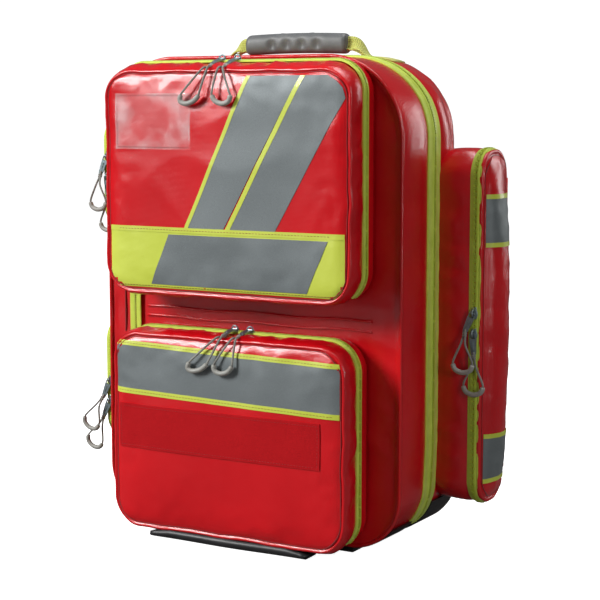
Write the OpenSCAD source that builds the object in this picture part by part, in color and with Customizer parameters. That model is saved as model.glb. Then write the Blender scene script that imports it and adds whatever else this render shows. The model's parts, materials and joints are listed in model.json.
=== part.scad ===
// Trauma backpack: a clamshell main body with two front pockets, three side
// pockets, carry handles and a padded carrying harness.
// X runs across the pack, -Y is its front, +Y is the wearer's back, Z is up.
// The origin lies on the floor, in the middle of the rear base guard.

/* [Main body] */
// Width of the main body
body_w = 382; // [360:1:400]
// Height of the main body above its base guard
body_h = 535; // [520:1:560]
// Depth of the front lid, from the main zip to the front panel
lid_d = 70; // [60:1:75]
// Depth of the rear shell, from the main zip to the back
rear_d = 90; // [80:1:100]
// Radius of the main body's top corners seen from the front
body_rt = 90; // [70:1:95]
// Radius of the main body's bottom corners seen from the front
body_rb = 60; // [50:1:65]
// Thickness of the padded walls
wall = 3; // [2:0.5:4]
// Height of the base guards under the body
base_h = 10; // [8:1:12]

/* [Front pockets] */
// Width of the upper front pocket
upper_w = 316; // [290:1:330]
// Bottom edge of the upper front pocket
upper_z0 = 282; // [282:1:286]
// Top edge of the upper front pocket
upper_z1 = 540; // [520:1:542]
// Width of the lower front pocket
lower_w = 302; // [280:1:310]
// Bottom edge of the lower front pocket
lower_z0 = 11; // [11:1:16]
// Top edge of the lower front pocket
lower_z1 = 240; // [230:1:240]
// Depth of a front pocket's fixed rim
rim_d = 20; // [14:1:24]
// Depth of a front pocket's opening cover
cover_d = 33.5; // [28:0.5:33.5]
// Corner radius of the front pockets
pocket_r = 34; // [25:1:40]

/* [Side pockets] */
// How far the right pocket's gusset stands out
right_d = 48; // [40:1:60]
// Thickness of the right pocket's cap
right_cap = 24; // [18:1:28]
// How far the left pockets' gussets stand out
left_d = 64; // [50:1:66]
// Thickness of the left pockets' caps
left_cap = 10; // [8:1:14]
// Front-to-back depth of the side pockets
side_w = 66; // [55:1:68]
// Corner radius of the right pocket
right_r = 30; // [22:1:32]
// Corner radius of the left pockets
left_r = 24; // [18:1:26]

/* [Handles] */
// Length of the top grip
grip_l = 134; // [110:1:150]
// Radius of the top grip
grip_r = 10.5; // [8:0.5:10.5]
// Height of the top grip's axis above its hinge line
grip_rise = 14; // [14:0.5:18]
// Length of the side grip
side_grip_l = 66; // [56:1:66]
// Distance of the side grip from its hinge line
side_grip_rise = 53; // [40:1:56]

/* [Zips] */
// Width of one half of a zip's tape
tape_w = 11; // [8:1:12]
// Length of a puller's metal tab
tab_l = 25; // [20:1:28]
// Length of a puller's cord loop with its grip
loop_l = 54; // [40:1:56]

/* [Hidden] */
$fn = 64;
gap = 0.3;                       // clearance between neighbouring pieces
cut = 1;                         // how far a cutting shape runs past the piece
zip_y = -44;                     // plane of the main zip
front_y = zip_y - lid_d;         // outer face of the main front panel
rear_y = zip_y + rear_d;         // outer face of the rear shell
half_w = body_w / 2;
body_z = base_h + body_h / 2;    // middle height of the main body
top_z = base_h + body_h;
hinge_y = front_y - gap - rim_d - gap / 2;   // plane of the front pockets' zips
cover_y = hinge_y - gap / 2 - cover_d;       // outer face of the covers
tape_t = 1.2;                    // thickness of a zip tape
zip_z = 52;                      // lowest point of the main zip

// Lid trim, guards and inner panels
piping_t = 2.5;
guard_t = 2.6;
guard_gap = 14;                  // room at the main hinge for the two guards
guard_y = zip_y + guard_gap;     // front edge of the rear guard, centred on the origin
rear_cheek_z = 48;
lid_cheek_z = 30;
sheet_t = 2.7;                   // thickness of the frame sheet
sheet_y = rear_y - wall - gap - sheet_t;     // front face of the frame sheet
organiser = [300, 2, 180];
organiser_z = 320;
loop_size = [32, 13, 30];        // an elastic loop, outside
loop_wall = 2;
loop_pitch = 70;
loop_z = 390;
shelf_z = [272, 278];

// Front pockets' sewn pieces: lowest and highest point, and inset from the pocket's sides
window_z = [444, 506];
window_x = [16, 118];
window_t = 0.9;
patch_z = [103, 154];
patch_x = [9, 28];
patch_t = 1.5;

// Side pockets: lowest and highest point
side_front = zip_y + 14;         // front wall of the side pockets
side_y = side_front + side_w / 2;
right_z = [50, 444];
left_upper_z = [346, 474];
left_lower_z = [80, 224];

// Handles
top_handle_y = -4;
side_handle_y = -22;
side_handle_z = 281;
hinge_rise = 3;                  // height of a handle's hinge line above the wall
core_r = 3;                      // webbing core of a grip
core_gap = 0.4;
arm_out = 9;                     // distance of a handle's arm from the grip's end
arm_t = 4;
foot_t = 3.1;
foot_drop = 2.6;                 // depth of a sewn end under the hinge line

// Harness
pad_t = 22;                      // back padding
pad_y = rear_y + gap + pad_t;
strap_x = 85;
strap_w = 62;
strap_r = 370;
strap_t = 12;
strap_z = 345;
strap_reach = 200;               // half height of the strap's stretch
strap_bow = 34;                  // how far a shoulder strap stands off the back
lock_z = [158, 184];             // ladder locks
lock_half = 17;
lock_t = 5.7;
slot_h = 3.5;
web_t = 1.8;
web_half = 12;
web_low_z = 130;                 // sewn lower end of the strap webbing
buckle_y = pad_y + strap_bow - 1.9;
sternum_z = 400;
sternum_size = [26, 9];          // height and thickness of the sternum buckle
hip_z = 92;
hip_size = [44, 11];
wing = [126, 72, 30];            // width, height and corner radius of a hip wing
wing_t = 14;
wing_x = 92;
hip_y = pad_y + wing_t + 2 * gap;

// Sliders and pullers
bar_h = 3.9;                     // height of a puller's bar above its slider's foot
bar_r = 0.65;
slider_size = [10, 12, 1.5];
bridge = [1.2, 6.4, 1.2];          // a slider's bridge over the bar
bridge_h = 5.3;                  // height of its underside
tab_w = 8.4;
tab_t = 1.3;
loop_w = 9;
loop_t = 3;

// ---- shared shapes ----

// Rounded rectangle about the origin
module round_rect(w, h, r) {
    square([w - 2 * r, h], center = true);
    square([w, h - 2 * r], center = true);
    for (sx = [-1, 1], sy = [-1, 1])
        translate([sx * (w / 2 - r), sy * (h / 2 - r)]) circle(r);
}

// Outline of the main body grown by m, with its larger radius at the top
module body_outline(m) {
    w = body_w + 2 * m;
    h = body_h + 2 * m;
    rt = body_rt + m;
    rb = body_rb + m;
    translate([-w / 2, rb - h / 2]) square([w, h - rt - rb]);
    translate([rt - w / 2, h / 2 - rt]) square([w - 2 * rt, rt]);
    translate([rb - w / 2, -h / 2]) square([w - 2 * rb, rb]);
    for (s = [-1, 1]) {
        translate([s * (w / 2 - rt), h / 2 - rt]) circle(rt);
        translate([s * (w / 2 - rb), rb - h / 2]) circle(rb);
    }
}

// Main body's block between two depths, grown by m
module body_block(m, y0, y1) {
    translate([0, y1, body_z]) rotate([90, 0, 0]) linear_extrude(y1 - y0) body_outline(m);
}

// Rounded block seen from the front, between two depths
module front_block(w, h, r, y0, y1, cz) {
    translate([0, y1, cz]) rotate([90, 0, 0]) linear_extrude(y1 - y0) round_rect(w, h, r);
}

// Rounded block seen from the side, between two widths
module side_block(w, h, r, x0, x1, cy, cz) {
    translate([x0, cy, cz]) rotate([90, 0, 90]) linear_extrude(x1 - x0) round_rect(w, h, r);
}

// Box between two corners
module box(lo, hi) {
    translate(lo) cube(hi - lo);
}

// Band of thickness t that wraps the main body from the outside
module body_band(t, y0, y1) {
    difference() {
        body_block(gap + t, y0, y1);
        body_block(gap, y0 - cut, y1 + cut);
    }
}

// ---- main body ----

module rear_shell() color("firebrick") difference() {
    body_block(0, zip_y + gap, rear_y);
    body_block(-wall, zip_y - cut, rear_y - wall);
}

module lid_shell() color("firebrick") difference() {
    body_block(0, front_y, zip_y - gap);
    body_block(-wall, front_y + wall, zip_y + cut);
}

module lid_piping() color("red") body_band(piping_t, front_y - 2, front_y + 3);

// A moulded boot: a flat foot with cheeks that wrap the bottom corners
module guard(y0, y1, cheek_z) {
    intersection() {
        body_band(guard_t, y0, y1);
        box([-half_w - 10, y0, -1], [half_w + 10, y1, cheek_z]);
    }
    box([-half_w + body_rb, y0, 0], [half_w - body_rb, y1, base_h - gap]);
}

module base_guard() color("dimgray") guard(guard_y, -guard_y, rear_cheek_z);

module lid_base_guard() color("dimgray") guard(front_y + 5, zip_y - guard_gap, lid_cheek_z);

module frame_sheet() color("gainsboro")
    front_block(body_w - 30, body_h - 40, 55, sheet_y, sheet_y + sheet_t, body_z);

// Panel with elastic loops, hung on the frame sheet in the upper compartment
module organiser_panel() color("slategray") translate([0, sheet_y - gap, organiser_z]) {
    box([-organiser[0] / 2, -organiser[1], 0], [organiser[0] / 2, 0, organiser[2]]);
    for (i = [0 : 3]) translate([(i - 1.5) * loop_pitch, -organiser[1], loop_z - organiser_z]) difference() {
        box([-loop_size[0] / 2, -loop_size[1], 0], [loop_size[0] / 2, 0, loop_size[2]]);
        box([loop_wall - loop_size[0] / 2, loop_wall - loop_size[1], -cut],
            [loop_size[0] / 2 - loop_wall, cut, loop_size[2] + cut]);
    }
}

// Padded shelf between the upper and lower compartments
module divider_shelf() color("silver")
    box([-half_w + wall + gap, zip_y + 4, shelf_z[0]], [half_w - wall - gap, sheet_y - gap, shelf_z[1]]);

module main_zip_tape(y0, y1) color("greenyellow") intersection() {
    body_band(tape_t, y0, y1);
    box([-half_w - 10, y0, zip_z], [half_w + 10, y1, top_z + 10]);
}
module main_zip_lid_tape() main_zip_tape(zip_y - gap - tape_w, zip_y - gap);
module main_zip_shell_tape() main_zip_tape(zip_y + gap, zip_y + gap + tape_w);

// ---- front pockets ----

module pocket_rim(w, z0, z1) color("firebrick") difference() {
    front_block(w, z1 - z0, pocket_r, hinge_y + gap / 2, front_y - gap, (z0 + z1) / 2);
    front_block(w - 2 * wall, z1 - z0 - 2 * wall, pocket_r - wall, hinge_y - cut, front_y + cut, (z0 + z1) / 2);
}

module pocket_cover(w, z0, z1) color("red") difference() {
    front_block(w, z1 - z0, pocket_r, cover_y, hinge_y - gap / 2, (z0 + z1) / 2);
    front_block(w - 2 * wall, z1 - z0 - 2 * wall, pocket_r - wall, cover_y + wall, hinge_y + cut, (z0 + z1) / 2);
}

module upper_pocket_rim() pocket_rim(upper_w, upper_z0, upper_z1);
module upper_pocket_cover() pocket_cover(upper_w, upper_z0, upper_z1);
module lower_pocket_rim() pocket_rim(lower_w, lower_z0, lower_z1);
module lower_pocket_cover() pocket_cover(lower_w, lower_z0, lower_z1);

module id_window() color("white", 0.4)
    box([window_x[0] - upper_w / 2, cover_y - 0.1 - window_t, window_z[0]],
        [window_x[1] - upper_w / 2, cover_y - 0.1, window_z[1]]);

module hook_loop_patch() color("crimson")
    box([patch_x[0] - lower_w / 2, cover_y - 0.1 - patch_t, patch_z[0]],
        [lower_w / 2 - patch_x[1], cover_y - 0.1, patch_z[1]]);

// ---- side pockets ----

// side is 1 on the right and -1 on the left; out is how far the piece starts from the body,
// and open_end is where its hollow ends
module side_shell(side, out, d, zs, r, open_end) {
    x0 = half_w + out;
    mirror([side < 0 ? 1 : 0, 0, 0]) difference() {
        side_block(side_w, zs[1] - zs[0], r, x0, x0 + d, side_y, (zs[0] + zs[1]) / 2);
        side_block(side_w - 2 * wall, zs[1] - zs[0] - 2 * wall, r - wall,
            x0 - cut, x0 + open_end, side_y, (zs[0] + zs[1]) / 2);
    }
}
module side_ring(side, out, d, zs, r) color("firebrick") side_shell(side, out, d, zs, r, d + cut);
module side_cap(side, out, d, zs, r) color("red") side_shell(side, out, d, zs, r, d - wall);

module right_pocket_gusset() side_ring(1, gap, right_d, right_z, right_r);
module right_pocket_cap() side_cap(1, right_d + 2 * gap, right_cap, right_z, right_r);
module left_pocket_gussets() {
    side_ring(-1, gap, left_d, left_upper_z, left_r);
    side_ring(-1, gap, left_d, left_lower_z, left_r);
}
module left_upper_cap() side_cap(-1, left_d + 2 * gap, left_cap, left_upper_z, left_r);
module left_lower_cap() side_cap(-1, left_d + 2 * gap, left_cap, left_lower_z, left_r);

// ---- handles: along X, hinge line at the origin, rising along Z ----

module handle_grip(l, r, rise) color("dimgray")
    translate([-l / 2, 0, rise]) rotate([0, 90, 0]) difference() {
        cylinder(r = r, h = l);
        translate([0, 0, -cut]) cylinder(r = core_r + core_gap, h = l + 2 * cut);
    }

// Webbing core through the grip, with an arm down to the hinge line at each end
module handle_loop(l, rise) color("darkkhaki") {
    translate([-l / 2 - arm_out, 0, rise]) rotate([0, 90, 0]) cylinder(r = core_r, h = l + 2 * arm_out);
    for (s = [-1, 1]) translate([s * (l / 2 + arm_out), 0, 0])
        box([-core_r, -arm_t / 2, -1.5], [core_r, arm_t / 2, rise + core_r]);
}

// Webbing ends sewn flat to the pack, just outside the arms
module handle_feet(l, out, half_l, half_w)
    color("darkkhaki") for (s = [-1, 1]) translate([s * (l / 2 + out), 0, -foot_drop])
        box([-half_l, -half_w, 0], [half_l, half_w, foot_t]);

module at_top_handle() translate([0, top_handle_y, top_z + hinge_rise]) children();
module at_side_handle()
    translate([-half_w - hinge_rise, side_handle_y, side_handle_z]) rotate([0, -90, 0]) children();

module top_handle_grip() at_top_handle() handle_grip(grip_l, grip_r, grip_rise);
module top_handle_webbing() at_top_handle() handle_loop(grip_l, grip_rise);
module side_handle_grip() at_side_handle() handle_grip(side_grip_l, 9, side_grip_rise);
module side_handle_webbing() at_side_handle() handle_loop(side_grip_l, side_grip_rise);
module handle_anchors() {
    at_top_handle() handle_feet(grip_l, 34, 21, 12);
    at_side_handle() handle_feet(side_grip_l, 16, 3.5, 10);
}

// ---- harness ----

module back_panel() color("dimgray")
    front_block(body_w - 70, body_h - 60, 60, rear_y + gap, pad_y, body_z);

// A strap that bows away from the back; the arm goes through the space behind it
module shoulder_strap(x) color("firebrick") {
    centre_y = pad_y + strap_bow - strap_r;
    translate([x - strap_w / 2, 0, 0]) rotate([90, 0, 90]) linear_extrude(strap_w)
        intersection() {
            difference() {
                translate([centre_y, strap_z]) circle(strap_r, $fn = 256);
                translate([centre_y, strap_z]) circle(strap_r - strap_t, $fn = 256);
            }
            translate([pad_y + gap, strap_z - strap_reach]) square([2 * strap_bow, 2 * strap_reach]);
        }
}
module shoulder_strap_left() shoulder_strap(-strap_x);
module shoulder_strap_right() shoulder_strap(strap_x);

module ladder_locks() color("dimgray") for (s = [-1, 1])
    translate([s * strap_x, pad_y + gap, lock_z[0]]) difference() {
        box([-lock_half, 0, 0], [lock_half, lock_t, lock_z[1] - lock_z[0]]);
        for (z = [5, 16])
            box([4 - lock_half, -cut, z], [lock_half - 4, lock_t + cut, z + slot_h]);
    }

// Lower strap webbing, and the fixed half of the sternum webbing
module harness_webbing() color("dimgray") {
    for (s = [-1, 1]) translate([0, pad_y + 2.2, 0]) rotate([90, 0, 0]) linear_extrude(web_t)
        polygon([[s * (strap_x - web_half), lock_z[0] - 0.5], [s * (strap_x + web_half), lock_z[0] - 0.5],
            [s * (strap_x + web_half + 3), web_low_z], [s * (strap_x - web_half + 3), web_low_z]]);
    box([-112, buckle_y, sternum_z - 10], [-22.3, buckle_y + web_t, sternum_z + 10]);
}

// Side-release buckle about the origin, size [height, thickness]: the clip leaves along +X
module buckle_socket(size) color("black") difference() {
    box([-22, 0, -size[0] / 2], [2, size[1], size[0] / 2]);
    box([-17, 1.4, 3 - size[0] / 2], [3, size[1] - 1.4, size[0] / 2 - 3]);
}
module buckle_clip(size, tail) color("black") {
    box([2.5, 0.4, 1 - size[0] / 2], [20, size[1] - 0.4, size[0] / 2 - 1]);
    box([-15, 1.9, 4 - size[0] / 2], [2.5, size[1] - 1.9, size[0] / 2 - 4]);
    box([20, 0.4, 2 - size[0] / 2], [tail, 2, size[0] / 2 - 2]);
}
module at_sternum() translate([0, buckle_y, sternum_z]) children();
module at_hip() translate([0, hip_y, hip_z]) children();
module sternum_socket() at_sternum() buckle_socket(sternum_size);
module sternum_clip() at_sternum() buckle_clip(sternum_size, 100);
module hip_socket() at_hip() buckle_socket(hip_size);
module hip_clip() at_hip() buckle_clip(hip_size, 120);

module hip_belt_wings() color("firebrick") for (s = [-1, 1])
    translate([s * wing_x, pad_y + gap + wing_t, hip_z]) rotate([90, 0, 0])
        linear_extrude(wing_t) round_rect(wing[0], wing[1], wing[2]);

// ---- zip sliders and pullers: foot at the origin, outward along +Z ----

module slider() color("lightslategray") {
    translate([-slider_size[0] / 2, -slider_size[1] / 2, 0]) cube(slider_size);
    for (y = [-bridge[1] / 2, bridge[1] / 2 - 1])
        translate([-bridge[0] / 2, y, slider_size[2]]) cube([bridge[0], 1, bridge_h - slider_size[2]]);
    translate([-bridge[0] / 2, -bridge[1] / 2, bridge_h]) cube(bridge);
}

// Metal tab: a bar through the slider's bridge, two arms and a plate along -Y
module tab() color("lightslategray") translate([-tab_w / 2, 0, bar_h]) {
    rotate([0, 90, 0]) cylinder(r = bar_r, h = tab_w);
    for (x = [0, tab_w - tab_t]) translate([x, -6, -bar_r]) cube([tab_t, 6, tab_t]);
    translate([0, -tab_l, -bar_r]) cube([tab_w, tab_l - 5.4, tab_t]);
}

// Cord loop with its grip, running along -Y from the origin
module pull_loop() color("darkgray")
    translate([0, -loop_l / 2, -loop_t / 2]) linear_extrude(loop_t) round_rect(loop_w, loop_l, 4.4);

// Puller on a flat wall: the tab leans by lean, then the loop hangs by hang
module flat_puller(lean, hang) {
    rotate([0, 0, lean]) tab();
    translate([tab_l * sin(lean), -tab_l * cos(lean), bar_h]) rotate([0, 0, hang]) pull_loop();
}

// Puller over a front pocket's edge: along the top, then down in front, leaning by hang
module edge_puller(hang) {
    over = cover_d + 1.6;
    tab();
    color("darkgray") box([-4, -over - 1.5, bar_h - 1.4], [4, 1 - tab_l, bar_h + 1.4]);
    translate([0, -over, bar_h + 2.1]) rotate([0, hang, 0]) rotate([90, 0, 0])
        translate([0, 0, loop_t / 2]) pull_loop();
}

module at_upper(x) translate([x, hinge_y, upper_z1 + gap]) children();
module at_lower(x) translate([x, hinge_y, lower_z1 + gap]) children();
module at_right(z)
    translate([half_w + right_d + 1.5 * gap, side_front - gap, z]) rotate([90, 0, 0]) children();
module at_left(z)
    translate([-half_w - left_d - 1.5 * gap, side_front - gap, z]) rotate([90, 0, 0]) children();
module at_main(z)
    translate([-half_w - tape_t - 2 * gap, zip_y, z]) rotate([90, 0, -90]) children();

// Places of the sliders, and how their pullers hang
upper_x = [-21, -1];
lower_x = [-6, 14];
right_slider_z = [266, 243];
left_upper_slider_z = [430, 406];
left_lower_slider_z = [150, 125];
main_slider_z = [222, 199];

module upper_slider_a() at_upper(upper_x[0]) slider();
module upper_puller_a() at_upper(upper_x[0]) edge_puller(20);
module upper_slider_b() at_upper(upper_x[1]) slider();
module upper_puller_b() at_upper(upper_x[1]) edge_puller(-13);
module lower_slider_a() at_lower(lower_x[0]) slider();
module lower_puller_a() at_lower(lower_x[0]) edge_puller(38);
module lower_slider_b() at_lower(lower_x[1]) slider();
module lower_puller_b() at_lower(lower_x[1]) edge_puller(19);
module right_slider_a() at_right(right_slider_z[0]) slider();
module right_puller_a() at_right(right_slider_z[0]) flat_puller(-24, 0);
module right_slider_b() at_right(right_slider_z[1]) slider();
module right_puller_b() at_right(right_slider_z[1]) flat_puller(4, 0);
module left_upper_slider_a() at_left(left_upper_slider_z[0]) slider();
module left_upper_puller_a() at_left(left_upper_slider_z[0]) flat_puller(-24, 0);
module left_upper_slider_b() at_left(left_upper_slider_z[1]) slider();
module left_upper_puller_b() at_left(left_upper_slider_z[1]) flat_puller(4, 0);
module left_lower_slider_a() at_left(left_lower_slider_z[0]) slider();
module left_lower_puller_a() at_left(left_lower_slider_z[0]) flat_puller(-24, -24);
module left_lower_slider_b() at_left(left_lower_slider_z[1]) slider();
module left_lower_puller_b() at_left(left_lower_slider_z[1]) flat_puller(-24, -24);
module main_slider_a() at_main(main_slider_z[0]) slider();
module main_puller_a() at_main(main_slider_z[0]) flat_puller(24, 0);
module main_slider_b() at_main(main_slider_z[1]) slider();
module main_puller_b() at_main(main_slider_z[1]) flat_puller(-4, 0);

rear_shell();
base_guard();
frame_sheet();
organiser_panel();
divider_shelf();
back_panel();
shoulder_strap_left();
shoulder_strap_right();
harness_webbing();
ladder_locks();
sternum_socket();
sternum_clip();
hip_belt_wings();
hip_socket();
hip_clip();
top_handle_grip();
top_handle_webbing();
side_handle_grip();
side_handle_webbing();
handle_anchors();
right_pocket_gusset();
right_pocket_cap();
left_pocket_gussets();
left_upper_cap();
left_lower_cap();
lid_shell();
lid_piping();
lid_base_guard();
upper_pocket_rim();
upper_pocket_cover();
id_window();
lower_pocket_rim();
lower_pocket_cover();
hook_loop_patch();
main_zip_lid_tape();
main_zip_shell_tape();
main_slider_a();
main_puller_a();
main_slider_b();
main_puller_b();
upper_slider_a();
upper_puller_a();
upper_slider_b();
upper_puller_b();
lower_slider_a();
lower_puller_a();
lower_slider_b();
lower_puller_b();
right_slider_a();
right_puller_a();
right_slider_b();
right_puller_b();
left_upper_slider_a();
left_upper_puller_a();
left_upper_slider_b();
left_upper_puller_b();
left_lower_slider_a();
left_lower_puller_a();
left_lower_slider_b();
left_lower_puller_b();
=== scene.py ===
"""Looks of the trauma backpack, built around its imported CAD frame.

Soft shells are grids and lofts that follow the CAD boxes, with seams, welts,
zips and sewn panels laid on them. Everything is in metres, in the CAD's frame.
"""
import json
import math

import bmesh
import bpy
import numpy as np
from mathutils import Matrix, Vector, noise
from mathutils.bvhtree import BVHTree


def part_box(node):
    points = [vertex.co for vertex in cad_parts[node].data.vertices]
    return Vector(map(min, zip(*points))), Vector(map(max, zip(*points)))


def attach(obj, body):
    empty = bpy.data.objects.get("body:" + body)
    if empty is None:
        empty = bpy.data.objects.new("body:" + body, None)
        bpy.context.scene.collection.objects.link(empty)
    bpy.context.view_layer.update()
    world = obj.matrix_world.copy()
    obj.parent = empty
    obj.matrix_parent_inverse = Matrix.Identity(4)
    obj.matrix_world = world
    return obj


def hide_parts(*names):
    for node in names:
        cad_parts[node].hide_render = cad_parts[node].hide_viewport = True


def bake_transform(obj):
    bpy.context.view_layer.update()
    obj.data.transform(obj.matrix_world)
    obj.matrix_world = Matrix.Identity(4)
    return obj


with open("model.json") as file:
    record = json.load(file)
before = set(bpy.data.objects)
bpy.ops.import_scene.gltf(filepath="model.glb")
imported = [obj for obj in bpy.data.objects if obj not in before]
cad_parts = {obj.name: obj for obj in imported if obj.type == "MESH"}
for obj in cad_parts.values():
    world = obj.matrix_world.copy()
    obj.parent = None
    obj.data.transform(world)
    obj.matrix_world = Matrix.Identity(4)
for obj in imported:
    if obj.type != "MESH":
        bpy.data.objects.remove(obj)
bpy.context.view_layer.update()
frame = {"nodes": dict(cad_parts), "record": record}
MM = 0.001


# ---------------------------------------------------------------- camera

AZIMUTH = math.radians(30)
PITCH = math.radians(6.8)
FOCAL_LENGTH = 97.5       # in mm
CAMERA_RANGE = 1.9171     # level distance from the origin
CAMERA_HEIGHT = 0.4916
CAMERA_ASIDE = 0.0004     # how far the view's middle passes right of the origin


def add_camera():
    data = bpy.data.cameras.new("camera")
    data.lens = FOCAL_LENGTH
    camera = bpy.data.objects.new("camera", data)
    bpy.context.scene.collection.objects.link(camera)
    right = Vector((math.cos(AZIMUTH), math.sin(AZIMUTH), 0))
    ahead = Vector((-math.sin(AZIMUTH), math.cos(AZIMUTH), 0))
    camera.location = right * CAMERA_ASIDE - ahead * CAMERA_RANGE + Vector((0, 0, CAMERA_HEIGHT))
    camera.rotation_euler = (math.pi / 2 - PITCH, 0, AZIMUTH)
    bpy.context.scene.camera = camera


# ---------------------------------------------------------------- materials

class Nodes:
    """A material's node tree, with short ways to add and join nodes."""

    def __init__(self, name):
        self.mat = bpy.data.materials.new(name)
        self.mat.use_nodes = True
        self.tree = self.mat.node_tree
        self.bsdf = self.tree.nodes["Principled BSDF"]
        self.place = self.add("ShaderNodeTexCoord").outputs["Object"]

    def add(self, kind, **settings):
        node = self.tree.nodes.new(kind)
        for key, value in settings.items():
            setattr(node, key, value)
        return node

    def join(self, out, into):
        self.tree.links.new(out, into)

    def noise(self, scale, detail):
        node = self.add("ShaderNodeTexNoise")
        node.inputs["Scale"].default_value = scale
        node.inputs["Detail"].default_value = detail
        self.join(self.place, node.inputs["Vector"])
        return node.outputs["Fac"]

    def waves(self, pitch):
        """The sum of sine waves of that pitch along each axis: a weave."""
        split = self.add("ShaderNodeSeparateXYZ")
        self.join(self.place, split.inputs[0])
        total = None
        for axis in "XYZ":
            times = self.add("ShaderNodeMath", operation="MULTIPLY")
            self.join(split.outputs[axis], times.inputs[0])
            times.inputs[1].default_value = 2 * math.pi / pitch
            sine = self.add("ShaderNodeMath", operation="SINE")
            self.join(times.outputs[0], sine.inputs[0])
            if total is None:
                total = sine.outputs[0]
            else:
                plus = self.add("ShaderNodeMath", operation="ADD")
                self.join(total, plus.inputs[0])
                self.join(sine.outputs[0], plus.inputs[1])
                total = plus.outputs[0]
        return total

    def ramp(self, fac, stops):
        node = self.add("ShaderNodeValToRGB")
        ramp = node.color_ramp
        while len(ramp.elements) < len(stops):
            ramp.elements.new(0.5)
        for element, (at, colour) in zip(ramp.elements, stops):
            element.position = at
            element.color = (*colour, 1)
        self.join(fac, node.inputs["Fac"])
        return node.outputs["Color"]

    def spread(self, fac, low, high):
        node = self.add("ShaderNodeMapRange")
        node.inputs["To Min"].default_value = low
        node.inputs["To Max"].default_value = high
        self.join(fac, node.inputs["Value"])
        return node.outputs["Result"]

    def coloured(self, fac, low, dark, high, bright):
        """Base colour that runs from dark to bright as fac runs from low to high."""
        self.join(self.ramp(fac, [(low, dark), (high, bright)]), self.bsdf.inputs["Base Color"])

    def roughened(self, scale, detail, low, high):
        """Roughness between low and high, by a noise."""
        self.join(self.spread(self.noise(scale, detail), low, high), self.bsdf.inputs["Roughness"])

    def bump(self, *layers):
        """Layers of (height, strength, distance), laid over each other."""
        normal = None
        for height, strength, distance in layers:
            node = self.add("ShaderNodeBump")
            node.inputs["Strength"].default_value = strength
            node.inputs["Distance"].default_value = distance
            self.join(height, node.inputs["Height"])
            if normal is not None:
                self.join(normal, node.inputs["Normal"])
            normal = node.outputs["Normal"]
        self.join(normal, self.bsdf.inputs["Normal"])

    def set(self, **values):
        for key, value in values.items():
            self.bsdf.inputs[key.replace("_", " ")].default_value = value
        return self.mat


def tarpaulin(name, dark, bright, rough=(0.15, 0.30)):
    """Glossy coated fabric: the weave telegraphs through the coating, which is dented all over."""
    n = Nodes(name)
    n.coloured(n.noise(9, 3), 0.3, dark, 0.7, bright)
    n.roughened(26, 5, *rough)
    broad_dents = (n.noise(11, 2), 0.26, 0.012)
    small_dents = (n.noise(42, 2), 0.10, 0.003)
    grain = (n.noise(230, 2), 0.10, 0.0008)
    n.bump(broad_dents, small_dents, grain, (n.waves(0.0013), 0.22, 0.00014))
    return n.set(Specular_IOR_Level=0.5, Coat_Weight=0.22, Coat_Roughness=0.06)


def woven(name, dark, bright, pitch, sheen=0.2):
    """Woven tape, lining or webbing; pitch is its weave's."""
    n = Nodes(name)
    n.coloured(n.noise(60, 4), 0.3, dark, 0.7, bright)
    n.bump((n.noise(900, 2), 0.15, 0.0003), (n.waves(pitch), 0.5, pitch / 4))
    return n.set(Roughness=0.75, Sheen_Weight=sheen)


def reflective(name):
    """Glass-bead tape: dull grey, with a very fine grain that catches the light."""
    n = Nodes(name)
    grain = n.noise(2600, 2)
    n.coloured(grain, 0.35, (0.12, 0.138, 0.143), 0.75, (0.21, 0.238, 0.243))
    n.roughened(35, 4, 0.42, 0.62)
    n.bump((n.noise(40, 3), 0.05, 0.003), (grain, 0.25, 0.0002))
    return n.set(Metallic=0.25)


def moulded(name, dark, bright, rough=(0.4, 0.6), grain=500, strength=0.25):
    """Moulded rubber or plastic with a fine spark-eroded grain."""
    n = Nodes(name)
    n.coloured(n.noise(40, 4), 0.3, dark, 0.7, bright)
    n.roughened(70, 4, *rough)
    n.bump((n.noise(grain, 3), strength, 0.0004))
    return n.mat


def enamelled_metal(name):
    """Grey enamel on the sliders and tabs."""
    n = Nodes(name)
    n.coloured(n.noise(300, 5), 0.3, (0.20, 0.26, 0.28), 0.72, (0.30, 0.38, 0.40))
    n.roughened(500, 4, 0.22, 0.42)
    n.bump((n.noise(700, 3), 0.12, 0.0003))
    return n.set(Metallic=0.75)


def pile(name):
    """Looped pile of a hook-and-loop patch."""
    n = Nodes(name)
    loops = n.noise(1500, 4)
    n.coloured(loops, 0.3, (0.36, 0.003, 0.006), 0.7, (0.56, 0.007, 0.011))
    n.bump((n.noise(90, 3), 0.2, 0.002), (loops, 0.9, 0.0008))
    return n.set(Roughness=0.95, Specular_IOR_Level=0.2)


def clear_sheet(name):
    """Clear window film, with pale pink patches in its alpha: a painted reflection."""
    n = Nodes(name)
    n.bump((n.noise(22, 3), 0.5, 0.006), (n.noise(60, 3), 0.2, 0.002))
    # The pale pink patches where the film turns partly opaque are a painted reflection of the lights.
    painted_reflection = n.ramp(n.noise(24, 6), [(0.42, (0.03, 0.03, 0.03)), (0.76, (0.36, 0.36, 0.36))])
    n.join(painted_reflection, n.bsdf.inputs["Alpha"])
    return n.set(Base_Color=(1, 0.86, 0.86, 1), Roughness=0.08, Coat_Weight=1.0, Coat_Roughness=0.03)


def spacer_mesh(name):
    """Black spacer mesh with rows of open cells."""
    n = Nodes(name)
    cells = n.add("ShaderNodeTexVoronoi")
    cells.inputs["Scale"].default_value = 330
    n.join(n.place, cells.inputs["Vector"])
    n.coloured(cells.outputs["Distance"], 0.15, (0.006, 0.006, 0.007), 0.5, (0.05, 0.05, 0.055))
    n.bump((cells.outputs["Distance"], 0.8, 0.001))
    return n.set(Roughness=0.85)


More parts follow.
